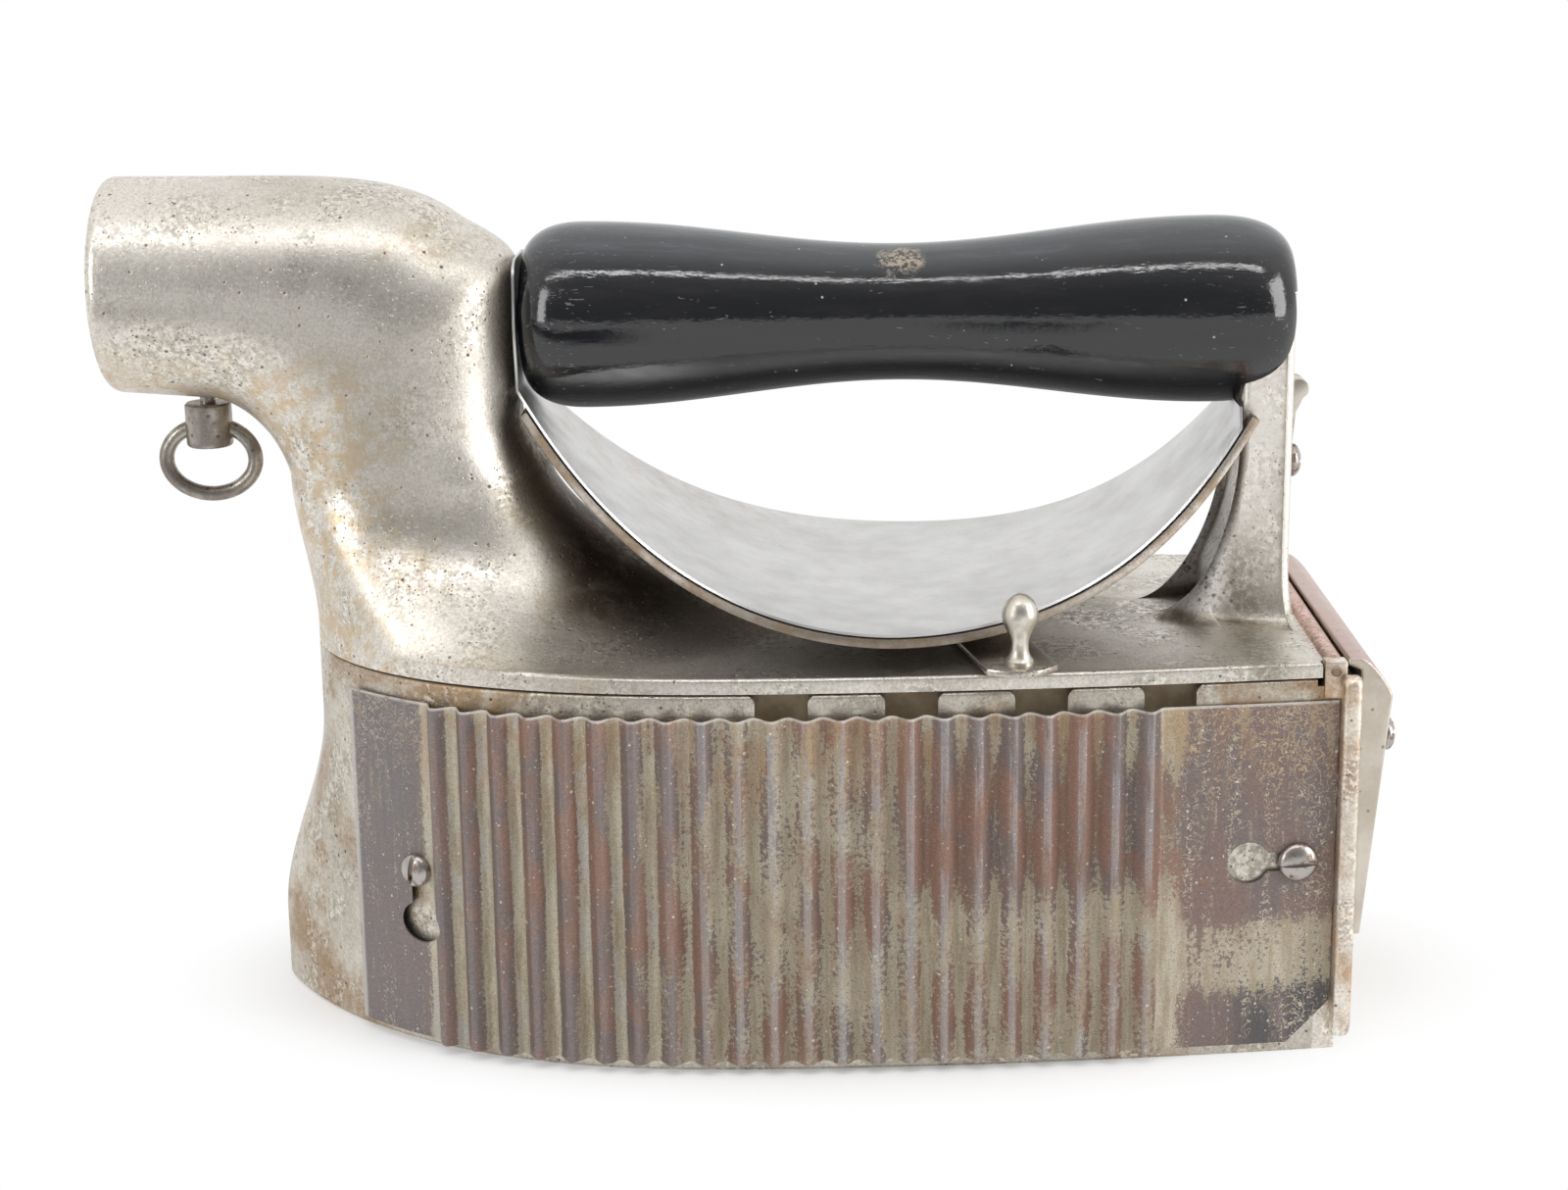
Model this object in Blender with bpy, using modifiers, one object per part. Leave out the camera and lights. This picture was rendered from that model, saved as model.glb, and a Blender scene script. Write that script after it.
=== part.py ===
"""Chimney iron: a charcoal flat iron with a hinged lid, an elbow chimney and a turned handle.

Frame: +X runs to the heel, +Y to the far side, +Z up. The origin lies on the flat sole.
"""
import math

import bmesh
import bpy
from mathutils import Matrix, Vector

MM = 0.001
FIT_GAP = 0.3 * MM            # clearance between pieces that touch

# ---- plan of the hull -------------------------------------------------------
BEAM_X = -8 * MM              # station of the widest beam
HALF_BEAM = 51.4 * MM         # half width there
HEEL_RUN = 105 * MM           # from the widest beam back to the heel
HEEL_TAPER = 8.2 * MM         # loss of half width over the heel run
HEEL_CURVE = 1.75             # how late the taper sets in
UPPER_NOSE_X = -91.4 * MM     # nose of the lid and of the rim
UPPER_FULLNESS = (2.4, 2.1)   # superellipse powers along and across, lid
SOLE_NOSE_X = -101.6 * MM     # nose of the sole
SOLE_FULLNESS = (2.52, 1.25)  # superellipse powers along and across, sole

# ---- box --------------------------------------------------------------------
RIM_Z = 72.3 * MM             # top of the box walls
FLARE_TOP_Z = 58 * MM         # the nose starts to swell below this height
FLARE_LOW_Z = 14 * MM         # the sole's full outline is reached here
SOLE_EDGE = 0.6 * MM          # chamfer round the sole
FLOOR_Z = 12 * MM             # top of the thick sole plate
WALL = 4 * MM
BOX_REAR_X = 103 * MM
REAR_WALL = 3.8 * MM          # from the cavity to the box's own rear face
FLANGE_FRONT_X = 101.9 * MM
FLANGE_THICK = 3.5 * MM
FLANGE_REAR_X = FLANGE_FRONT_X + FLANGE_THICK
HEEL_HALF = HALF_BEAM - HEEL_TAPER
FLANGE_SIDE = 3.2 * MM         # the flange stands out this far beside the heel
FLANGE_HALF = HEEL_HALF + FLANGE_SIDE
FLANGE_LOW_Z = 3 * MM
FLANGE_TOP_Z = 73.4 * MM
FLANGE_ROUND = 1.2 * MM
NOTCH_FIRST_X = 0 * MM        # centre of the front vent notch
NOTCH_PITCH = 23.5 * MM
NOTCH_COUNT = 4
NOTCH_WIDTH = 9.6 * MM
NOTCH_DEPTH = 8 * MM
INLET_HALF = 18 * MM          # air window in the rear wall, half width
INLET_LOW_Z = 16 * MM
INLET_HIGH_Z = 30 * MM

# ---- hinge ------------------------------------------------------------------
KNUCKLE_RADIUS = 2.1 * MM
HINGE_X = BOX_REAR_X - KNUCKLE_RADIUS
HINGE_RISE = 1.6 * MM         # of the hinge's axis above the rim
HINGE_Z = RIM_Z + HINGE_RISE
PIN_RADIUS = 1.0 * MM
EAR_THICK = 3.6 * MM
EAR_OUTER_Y = HEEL_HALF + 0.4 * MM
EAR_INNER_Y = EAR_OUTER_Y - EAR_THICK
PIN_END_Y = EAR_OUTER_Y + 0.2 * MM
SEAT_DEPTH = 0.8 * MM         # room under the knuckle

# ---- lid --------------------------------------------------------------------
LID_THICK = 2.8 * MM
LID_UNDER_Z = RIM_Z + FIT_GAP
LID_CROWN = 0.4 * MM          # the lid's edge lies this much under its middle
LID_REAR_X = HINGE_X - KNUCKLE_RADIUS - FIT_GAP
LID_TOP_Z = LID_UNDER_Z + LID_THICK + LID_CROWN
CASTING_WALL = 3 * MM
FLUSH_END_X = -54 * MM        # the bell leaves the lid's edge here
BELL_TOE_X = 8 * MM           # rear end of the bell on the lid
BELL_CURVE = 0.45             # power of its rise: the lower, the more hollow

# ---- chimney ----------------------------------------------------------------
ELBOW_X = -109 * MM           # centre of the inner bend
ELBOW_Z = 105.2 * MM
BEND_RADIUS = 13.7 * MM       # inner bend
BEND_EASE = 1.6 * MM          # how much nearer the bend passes at its middle
COLUMN_REAR_X = -50.7 * MM
COLUMN_HALF = 22 * MM         # half width of the column
COLUMN_FLARE = 5 * MM         # its back swells this much down to the bell
COLUMN_FLARE_ANGLE = 12       # degrees of the elbow over which it does
BARREL_RADIUS = 21.2 * MM     # at the elbow
MOUTH_RADIUS = 20.6 * MM
MOUTH_RISE = 0.8 * MM         # the mouth's axis lies this much above the elbow's
MOUTH_X = -129 * MM
MOUTH_ROUND = 2.2 * MM
SHOULDER_ANGLE = 34           # degrees up to which the column's back stays upright
SHOULDER_SPAN = 12            # degrees over which its corner melts into the bend
SHOULDER_POWER = 3.9          # superellipse power of the outer bend
BOSS_RADIUS = 7 * MM          # boss for the handle rod, inside the column
BOSS_DEPTH = 8 * MM
BOSS_FLOOR = 2 * MM           # left solid behind the rod's end

# ---- rear post --------------------------------------------------------------
POST_FRONT_X = 87.2 * MM
POST_REAR_X = 97 * MM
POST_HALF = 11.8 * MM
POST_ROOT_FRONT = 16 * MM   # how far the root runs forward on the lid
POST_ROOT_HEIGHT = 34 * MM
POST_ROOT_SIDE = 5 * MM
POST_SIDE_HEIGHT = 7 * MM

# ---- handle -----------------------------------------------------------------
HANDLE_Z = 134.2 * MM
HANDLE_REAR_X = 97.3 * MM
HANDLE_BULGE = 17.8 * MM
HANDLE_WAIST = 13.05 * MM
BULGE_FRONT_X = -37 * MM
BULGE_REAR_X = 81.5 * MM
HANDLE_FACE = 10 * MM         # radius of the flat end faces
ROD_RADIUS = 2.9 * MM
TONGUE_RISE = 8 * MM          # the post reaches this far above the handle's axis

# ---- heat shield ------------------------------------------------------------
SHIELD_X = 22 * MM            # lowest station
SHIELD_LOW_Z = 80 * MM
SHIELD_FRONT_RISE = 38.2 * MM  # from the lowest station to the column
SHIELD_FRONT_BOW = 0.72       # share of that rise that follows a parabola
SHIELD_REAR_X = 90 * MM
SHIELD_REAR_RISE = 35.2 * MM
SHIELD_REAR_BOW = 0.58
OUTER_THICK = 1.7 * MM
LINER_THICK = 0.5 * MM
SHIELD_WIDE_X = 18 * MM       # station of the greatest width
SHIELD_HALF = 48.4 * MM
SHIELD_FRONT_HALF = 12.6 * MM  # half width at the column
SHIELD_REAR_HALF = 16 * MM    # half width beside the post
LINER_INSET = 0.6 * MM
TAB_HALF = 13 * MM            # half width of the liner's tab behind the grip
TAB_RISE = 11.8 * MM          # the tab's top stands this far above the handle's axis
TAB_CORNER = 3 * MM

# ---- side shields -----------------------------------------------------------
SHEET = 0.6 * MM
SHEET_LOW_Z = 2.2 * MM
SHEET_TOP_Z = 68.4 * MM
SHEET_FRONT_X = -81.2 * MM
SHEET_CORNER = 8 * MM         # clipped lower rear corner
WAVE_START_X = -65.5 * MM
WAVE_END_X = 69.5 * MM
WAVE_PITCH = 6.1 * MM
WAVE_HEIGHT = 2.6 * MM
WAVE_STEPS = 6
SCREW_HEAD = 3.2 * MM
SCREW_SHANK = 1.5 * MM
SCREW_HEIGHT = 2 * MM
SLOT_WIDTH = 0.8 * MM
SLOT_DEPTH = 0.8 * MM
SCREW_REACH = 3 * MM          # length of shank inside the wall
FRONT_SCREW = (-68.3 * MM, 35.6 * MM)
FRONT_HOLE_DROP = 10.5 * MM   # big hole below the front screw
REAR_SCREW = (94.6 * MM, 38 * MM)
REAR_HOLE_SETBACK = 9 * MM    # big hole in front of the rear screw
KEYHOLE_RADIUS = SCREW_HEAD + FIT_GAP

# ---- rear hood --------------------------------------------------------------
HOOD_INSET = 4.4 * MM          # of its ends from the flange's ends
HOOD_HALF = FLANGE_HALF - HOOD_INSET
HOOD_SHEET = 1.4 * MM
HOOD_TOP_Z = 76 * MM
HOOD_LAP = 2.1 * MM           # its top reaches this far forward over the flange
HOOD_FRONT_X = FLANGE_REAR_X - HOOD_LAP
HOOD_DEPTH = 6.2 * MM         # of its shoulder behind the flange
HOOD_SHOULDER = (FLANGE_REAR_X + HOOD_DEPTH, 68.5 * MM)
HOOD_ROUND = 1.35             # superellipse power of the shoulder
HOOD_FOOT_REACH = 1.8 * MM    # of its open foot behind the flange
HOOD_FOOT_X = FLANGE_REAR_X + HOOD_FOOT_REACH
HOOD_FOOT_Z = 22.6 * MM
HOOD_SCREW_INSET = 6 * MM     # from the hood's end to the screw's middle
HOOD_SCREW_Y = HOOD_HALF - HOOD_SCREW_INSET
HOOD_SCREW_Z = 60 * MM

# ---- grate ------------------------------------------------------------------
GRATE_Z = 24 * MM
GRATE_THICK = 3 * MM
GRATE_PLAY = 1.2 * MM
GRATE_SLOTS = 6
GRATE_BAR = 6 * MM
GRATE_SLOT = 5 * MM
GRATE_LEG = 3 * MM

# ---- damper -----------------------------------------------------------------
DAMPER_X = -111.6 * MM
STUB_RADIUS = 4.5 * MM
STUB_LENGTH = 8.6 * MM
STUB_GAP = 1.1 * MM
RING_HALF_LENGTH = 8.7 * MM   # ring centre line, half axes
RING_HALF_HEIGHT = 6.9 * MM
RING_WIRE = 1.45 * MM
RING_Z = 106.6 * MM
SPINDLE_RADIUS = 1.5 * MM
FLAP_RADIUS = 15.4 * MM
FLAP_THICK = 1.4 * MM
FLAP_BOSS = 3.2 * MM

# ---- air lever --------------------------------------------------------------
PIVOT_X = 32 * MM
PAD_RADIUS = 14.5 * MM
PAD_RISE = 0.5 * MM
LEVER_THICK = 1.2 * MM
LEVER_DISC = 14 * MM
LEVER_HALF = 6.6 * MM
LEVER_REACH = 57 * MM
LEVER_CLIP = 4 * MM
LEVER_ANGLE = 12              # degrees from square across, towards the heel
KNOB_INSET = 5 * MM           # from the lever's end to the knob's middle
KNOB_HEIGHT = 12.8 * MM
KNOB_RADIUS = 3.3 * MM
KNOB_NECK = 1.6 * MM
KNOB_FOOT = 2.2 * MM
VENT_RADIUS = 3.1 * MM
VENT_CIRCLE = 8.6 * MM
VENT_COUNT = 3
PIVOT_HEAD = 3.6 * MM
PIVOT_HEIGHT = 1.5 * MM

# ---- strip behind the post --------------------------------------------------
STRIP_THICK = 0.9 * MM
STRIP_HALF = 3.6 * MM
STRIP_SCREW_Z = 104.5 * MM
STRIP_LOW_Z = 100.2 * MM
BEAD_Z = 119 * MM
BEAD_RADIUS = 1.9 * MM

# ---- smoothness -------------------------------------------------------------
SIDE_STEPS = 20               # points along one side of the hull
ROUND_STEPS = 24              # sides of turned pieces
BELL_STEPS = 7
ELBOW_ANGLES = (4, 8, 12, 22, 30, 34, 38, 43, 50, 58, 67, 78, 90)
BOSS_STEPS = 16
SCREW_STEPS = 12

CAVITY_REAR_X = BOX_REAR_X - REAR_WALL
HANDLE_FRONT_X = COLUMN_REAR_X + LINER_THICK + 2 * FIT_GAP
BEYOND = 5 * MM               # how far cutters run past what they cut


def start_scene():
    """Empty the scene and return the collections for the parts and the cutters."""
    for old in list(bpy.data.objects):
        bpy.data.objects.remove(old, do_unlink=True)
    made = []
    for name in ("chimney_iron", "cutters"):
        group = bpy.data.collections.new(name)
        bpy.context.scene.collection.children.link(group)
        made.append(group)
    return made


PARTS, CUTTERS = start_scene()


# ---- materials --------------------------------------------------------------
def material(name, colour, roughness, metallic):
    """Principled material with plain values."""
    made = bpy.data.materials.new(name)
    made.use_nodes = True
    shader = made.node_tree.nodes["Principled BSDF"]
    shader.inputs["Base Color"].default_value = (*colour, 1)
    shader.inputs["Roughness"].default_value = roughness
    shader.inputs["Metallic"].default_value = metallic
    return made


# ---- shape helpers ----------------------------------------------------------
def add_object(name, mesh, group=PARTS, look=None):
    """Link a mesh as a named object, shaded smooth below 35 degrees."""
    made = bpy.data.objects.new(name, mesh)
    group.objects.link(made)
    if group is CUTTERS:
        made.hide_render = True
        made.display_type = "WIRE"
    if look:
        mesh.materials.append(look)
        mesh.shade_smooth()
        mesh.set_sharp_from_angle(angle=math.radians(35))
    return made


def mesh_from_bmesh(name, shape):
    """Turn a bmesh into a mesh with outward normals."""
    bmesh.ops.recalc_face_normals(shape, faces=shape.faces)
    mesh = bpy.data.meshes.new(name)
    shape.to_mesh(mesh)
    shape.free()
    return mesh


def loft(name, rings, group=PARTS, look=None, endless=False):
    """Skin equal rings of points. Ends are capped, or joined when endless."""
    shape = bmesh.new()
    rows = [[shape.verts.new(point) for point in ring] for ring in rings]
    pairs = list(zip(rows, rows[1:]))
    if endless:
        pairs.append((rows[-1], rows[0]))
    for low, high in pairs:
        for i in range(len(low)):
            j = (i + 1) % len(low)
            shape.faces.new((low[i], low[j], high[j], high[i]))
    if not endless:
        shape.faces.new(rows[0][::-1])
        shape.faces.new(rows[-1])
    return add_object(name, mesh_from_bmesh(name, shape), group, look)


def box(name, low, high, group=CUTTERS, look=None, soften=0):
    """Axis-aligned box between two corners, with its edges rounded if asked."""
    shape = bmesh.new()
    bmesh.ops.create_cube(shape, size=1)
    low, high = Vector(low), Vector(high)
    bmesh.ops.scale(shape, vec=high - low, verts=shape.verts)
    bmesh.ops.translate(shape, vec=(low + high) / 2, verts=shape.verts)
    if soften:
        bmesh.ops.bevel(shape, geom=shape.edges[:], offset=soften, segments=2, profile=0.5,
                        affect="EDGES")
    return add_object(name, mesh_from_bmesh(name, shape), group, look)


def rod(name, start, end, radius, group=CUTTERS, look=None, steps=BOSS_STEPS):
    """Round bar between two points."""
    start, end = Vector(start), Vector(end)
    shape = bmesh.new()
    bmesh.ops.create_cone(shape, cap_ends=True, segments=steps, radius1=radius,
                          radius2=radius, depth=(end - start).length)
    turn = (end - start).to_track_quat("Z", "Y").to_matrix().to_4x4()
    place = Matrix.Translation((start + end) / 2) @ turn
    bmesh.ops.transform(shape, matrix=place, verts=shape.verts)
    return add_object(name, mesh_from_bmesh(name, shape), group, look)


def turned(name, profile, place, group=PARTS, look=None, steps=ROUND_STEPS):
    """Screw a closed profile of (radius, height) round its own +Z, then place it."""
    mesh = bpy.data.meshes.new(name)
    points = [(r, 0, z) for r, z in profile]
    mesh.from_pydata(points, [(i, i + 1) for i in range(len(points) - 1)], [])
    made = add_object(name, mesh, group, look)
    spin = made.modifiers.new("spin", "SCREW")
    spin.steps = steps
    spin.render_steps = steps
    spin.use_merge_vertices = True
    spin.merge_threshold = 0.01 * MM
    return bake(made, place)


def evaluated_mesh(made):
    """Mesh of an object with its modifiers applied."""
    graph = bpy.context.evaluated_depsgraph_get()
    return bpy.data.meshes.new_from_object(made.evaluated_get(graph))


def bake(made, place=None):
    """Apply an object's modifiers, then a placing matrix, to its mesh."""
    mesh = evaluated_mesh(made)
    made.modifiers.clear()
    made.data = mesh
    if place is not None:
        mesh.transform(place)
    shape = bmesh.new()
    shape.from_mesh(mesh)
    bmesh.ops.remove_doubles(shape, verts=shape.verts, dist=0.01 * MM)
    bmesh.ops.recalc_face_normals(shape, faces=shape.faces)
    shape.to_mesh(mesh)
    shape.free()
    if made.name in PARTS.objects:
        mesh.shade_smooth()
        mesh.set_sharp_from_angle(angle=math.radians(35))
    return made


def outline(name, points, thick, place, group=PARTS, look=None):
    """Flat outline from a 2D curve, extruded evenly about its plane, then placed."""
    curve = bpy.data.curves.new(name, "CURVE")
    curve.dimensions = "2D"
    curve.fill_mode = "BOTH"
    curve.extrude = thick / 2
    for ring in points:
        line = curve.splines.new("POLY")
        line.points.add(len(ring) - 1)
        for point, (x, y) in zip(line.points, ring):
            point.co = (x, y, 0, 1)
        line.use_cyclic_u = True
    drawn = bpy.data.objects.new(name + "_curve", curve)
    CUTTERS.objects.link(drawn)
    mesh = evaluated_mesh(drawn)
    bpy.data.objects.remove(drawn, do_unlink=True)
    made = add_object(name, mesh, group, look)
    return bake(made, place)


def boolean(target, tools, operation):
    """Run one exact Boolean for each tool and keep the result."""
    for tool in tools:
        change = target.modifiers.new(tool.name, "BOOLEAN")
        change.operation = operation
        change.solver = "EXACT"
        change.object = tool
    return bake(target)


def cut(target, tools):
    """Take the tools out of the target."""
    return boolean(target, tools, "DIFFERENCE")


def join(target, tools):
    """Add the tools to the target."""
    return boolean(target, tools, "UNION")


def circle(radius, steps, centre=(0, 0)):
    """Points of a circle in a plane."""
    turn = 2 * math.pi / steps
    return [(centre[0] + radius * math.cos(i * turn), centre[1] + radius * math.sin(i * turn))
            for i in range(steps)]


def ease(t):
    """Smooth step from 0 to 1."""
    t = min(max(t, 0), 1)
    return t * t * (3 - 2 * t)


def mix(a, b, t):
    """Straight blend of two numbers."""
    return a + (b - a) * t


def upright(x=0, y=0, z=0):
    """Matrix that only moves."""
    return Matrix.Translation((x, y, z))


# plane of the iron's side: drawn x stays x, drawn y becomes z
SIDE_PLANE = Matrix.Rotation(math.radians(90), 4, "X")


# ---- hull -------------------------------------------------------------------
def half_width(x, nose_x, fullness):
    """Half width of the hull at station x."""
    if x >= BEAM_X:
        return HALF_BEAM - HEEL_TAPER * ((x - BEAM_X) / HEEL_RUN) ** HEEL_CURVE
    along, across = fullness
    t = (BEAM_X - x) / (BEAM_X - nose_x)
    return HALF_BEAM * max(1 - t ** along, 0) ** (1 / across)


def upper_half(x):
    """Half width of the lid and of the walls under it."""
    return half_width(x, UPPER_NOSE_X, UPPER_FULLNESS)


def hull_side(nose_x, fullness, rear_x, inset):
    """Points of one side from nose to heel, as (x, half width)."""
    points = []
    for i in range(SIDE_STEPS + 1):
        x = nose_x + (rear_x - nose_x) * (1 - math.cos(math.pi / 2 * i / SIDE_STEPS))
        points.append((x, half_width(x, nose_x, fullness)))
    span = rear_x - nose_x
    return [(x + inset * (rear_x - x) / span, max(y - inset, 0)) for x, y in points]


def hull_ring(z, side):
    """Closed ring at height z from one side's points."""
    near = [(x, -y, z) for x, y in side]
    far = [(x, y, z) for x, y in side[1:]]
    return near + far[::-1]


def flare(z):
    """How much of the sole's outline the walls have at height z."""
    return ease((FLARE_TOP_Z - z) / (FLARE_TOP_Z - FLARE_LOW_Z))


def wall_side(z, inset, rear_x=BOX_REAR_X):
    """Outer side of the walls at height z."""
    share = flare(z)
    nose = mix(UPPER_NOSE_X, SOLE_NOSE_X, share)
    fullness = [mix(a, b, share) for a, b in zip(UPPER_FULLNESS, SOLE_FULLNESS)]
    return hull_side(nose, fullness, rear_x, inset)


def inset_cavity(play=0):
    """Inside of the walls with the wall's thickness taken off."""
    nose = UPPER_NOSE_X + WALL + play
    points = hull_side(nose, UPPER_FULLNESS, CAVITY_REAR_X - play, 0)
    return [(x, max(y - (WALL + play) * min(1, (x - nose) / WALL / 3), 0)) for x, y in points]


def wall_half(x):
    """Half width of the walls where they stand out most at station x."""
    halves = []
    for i in range(9):
        nose = mix(UPPER_NOSE_X, SOLE_NOSE_X, i / 8)
        fullness = [mix(a, b, i / 8) for a, b in zip(UPPER_FULLNESS, SOLE_FULLNESS)]
        halves.append(half_width(x, nose, fullness))
    return max(halves)


def wall_normal(x):
    """Outward direction of the near wall at station x, in plan."""
    step = 0.1 * MM
    slope = (wall_half(x + step) - wall_half(x - step)) / (2 * step)
    return Vector((-slope, -1, 0)).normalized()


def make_base():
    """Box casting: sole, walls, rear flange, notched rim and hinge ears."""
    look = material("nickelled_iron", (0.46, 0.43, 0.38), 0.42, 0.9)
    levels = [SOLE_EDGE, FLOOR_Z / 2, FLARE_LOW_Z]
    flare_steps = 6
    levels += [mix(FLARE_LOW_Z, FLARE_TOP_Z, i / flare_steps) for i in range(1, flare_steps + 1)]
    rings = [hull_ring(0, wall_side(0, SOLE_EDGE))]
    rings += [hull_ring(z, wall_side(z, 0)) for z in levels + [RIM_Z]]
    rings += [hull_ring(z, inset_cavity()) for z in (RIM_Z, FLOOR_Z)]
    made = loft("base_casting", rings, look=look)
    flange = box("flange", (FLANGE_FRONT_X, -FLANGE_HALF, FLANGE_LOW_Z),
                 (FLANGE_REAR_X, FLANGE_HALF, FLANGE_TOP_Z), soften=FLANGE_ROUND)
    join(made, [flange])
    seat = box("hinge_seat", (CAVITY_REAR_X - WALL, -EAR_OUTER_Y - FIT_GAP, HINGE_Z - KNUCKLE_RADIUS
               - SEAT_DEPTH), (FLANGE_REAR_X + BEYOND, EAR_OUTER_Y + FIT_GAP, RIM_Z + BEYOND))
    cutters = [seat]
    for i in range(NOTCH_COUNT):
        x = NOTCH_FIRST_X + i * NOTCH_PITCH
        cutters.append(box(f"notch_{i}", (x - NOTCH_WIDTH / 2, -HALF_BEAM - BEYOND, RIM_Z - NOTCH_DEPTH),
                           (x + NOTCH_WIDTH / 2, HALF_BEAM + BEYOND, RIM_Z + BEYOND)))
    cutters.append(box("inlet", (CAVITY_REAR_X - BEYOND, -INLET_HALF, INLET_LOW_Z),
                       (FLANGE_REAR_X + BEYOND, INLET_HALF, INLET_HIGH_Z)))
    cut(made, cutters)
    ears = []
    for side in (-1, 1):
        low, high = sorted((side * EAR_INNER_Y, side * EAR_OUTER_Y))
        ears.append(box(f"ear_{side}", (HINGE_X - KNUCKLE_RADIUS, low, SHEET_TOP_Z + FIT_GAP),
                        (HINGE_X + KNUCKLE_RADIUS, high, HINGE_Z + KNUCKLE_RADIUS - FIT_GAP)))
    join(made, ears)
    holes = [rod("pin_bore_base", (HINGE_X, -FLANGE_HALF - BEYOND, HINGE_Z),
                 (HINGE_X, FLANGE_HALF + BEYOND, HINGE_Z), PIN_RADIUS + FIT_GAP)]
    for name, seat_point, normal in shield_screw_places():
        holes.append(rod("bore_" + name, seat_point + normal * BEYOND,
                         seat_point - normal * (SCREW_REACH + FIT_GAP), SCREW_SHANK + FIT_GAP))
    for side in (-1, 1):
        holes.append(rod(f"hood_bore_{side}", (FLANGE_REAR_X + BEYOND, side * HOOD_SCREW_Y, HOOD_SCREW_Z),
                         (FLANGE_REAR_X - SCREW_REACH - FIT_GAP, side * HOOD_SCREW_Y, HOOD_SCREW_Z),
                         SCREW_SHANK + FIT_GAP))
    return cut(made, holes)


def make_grate():
    """Slotted plate on four legs that stands on the floor of the box."""
    look = material("sooty_iron", (0.09, 0.08, 0.075), 0.8, 0.5)
    side = inset_cavity(GRATE_PLAY)
    rings = [hull_ring(z, side) for z in (GRATE_Z, GRATE_Z + GRATE_THICK)]
    made = loft("fire_grate", rings, look=look)
    slots = []
    pitch = GRATE_BAR + GRATE_SLOT
    for i in range(GRATE_SLOTS):
        y = (i - (GRATE_SLOTS - 1) / 2) * pitch
        rear = CAVITY_REAR_X - 2 * WALL
        front = UPPER_NOSE_X + 3.4 * WALL + abs(y) * 0.9
        slots.append(box(f"grate_slot_{i}", (front, y - GRATE_SLOT / 2, GRATE_Z - BEYOND),
                         (rear, y + GRATE_SLOT / 2, GRATE_Z + GRATE_THICK + BEYOND)))
    cut(made, slots)
    legs = []
    for x in (FLUSH_END_X, CAVITY_REAR_X - WALL - GRATE_LEG):
        for side_sign in (-1, 1):
            y = side_sign * (upper_half(x) - 2.6 * WALL)
            legs.append(rod(f"grate_leg_{x:.3f}_{side_sign}", (x, y, FLOOR_Z + FIT_GAP),
                            (x, y, GRATE_Z + GRATE_THICK / 2), GRATE_LEG, steps=12))
    return join(made, legs)


# ---- side shields -----------------------------------------------------------
def shield_screw_places():
    """Names, points on the outside of the wall and outward directions of the four screws."""
    places = []
    for name, (x, z) in (("front", FRONT_SCREW), ("rear", REAR_SCREW)):
        normal = wall_normal(x)
        point = Vector((x, -wall_half(x), z))
        mirror = Vector((1, -1, 1))
        places.append((name + "_near", point, normal))
        places.append((name + "_far", point * mirror, normal * mirror))
    return places


def wave_lift(run, length):
    """Distance of the corrugated sheet from its flat, after a run along the wall."""
    if not 0 < run < length:
        return 0
    waves = round(length / WAVE_PITCH)
    return WAVE_HEIGHT * (1 - math.cos(2 * math.pi * waves * run / length)) / 2


def shield_line(lift):
    """Plan line of the near sheet, at a distance from the wall, waves included."""
    fine = 0.25 * MM
    count = round((FLANGE_FRONT_X - FIT_GAP - SHEET_FRONT_X) / fine)
    stations = [mix(SHEET_FRONT_X, FLANGE_FRONT_X - FIT_GAP, i / count) for i in range(count + 1)]
    runs = [0]
    for a, b in zip(stations, stations[1:]):
        runs.append(runs[-1] + math.hypot(b - a, wall_half(b) - wall_half(a)))

    def run_at(x):
        i = min(int((x - SHEET_FRONT_X) / (stations[1] - stations[0])), count - 1)
        return mix(runs[i], runs[i + 1], (x - stations[i]) / (stations[1] - stations[0]))

    def station_at(run):
        i = max(k for k in range(count) if runs[k] <= run)
        return mix(stations[i], stations[i + 1], (run - runs[i]) / (runs[i + 1] - runs[i]))

    start, end = run_at(WAVE_START_X), run_at(WAVE_END_X)
    length = end - start
    steps = round(length / WAVE_PITCH) * WAVE_STEPS
    flat_steps = 6
    marks = [start * i / flat_steps for i in range(flat_steps)]
    marks += [start + length * i / steps for i in range(steps + 1)]
    marks += [end + (runs[-1] - end) * i / flat_steps for i in range(1, flat_steps)]
    line = []
    for run in marks + [runs[-1]]:
        x = station_at(min(run, runs[-1] - 1e-9))
        normal = wall_normal(x)
        reach = lift + wave_lift(run - start, length)
        line.append((x + normal.x * reach, -wall_half(x) + normal.y * reach))
    line[-1] = (FLANGE_FRONT_X - FIT_GAP, line[-1][1])
    return line


def capsule(centre, end, radius, steps=BOSS_STEPS):
    """Slot outline with round ends between two points."""
    axis = math.atan2(end[1] - centre[1], end[0] - centre[0])
    half = steps // 2
    points = []
    for middle, start in ((end, axis - math.pi / 2), (centre, axis + math.pi / 2)):
        for i in range(half + 1):
            turn = start + math.pi * i / half
            points.append((middle[0] + radius * math.cos(turn), middle[1] + radius * math.sin(turn)))
    return points


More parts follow.
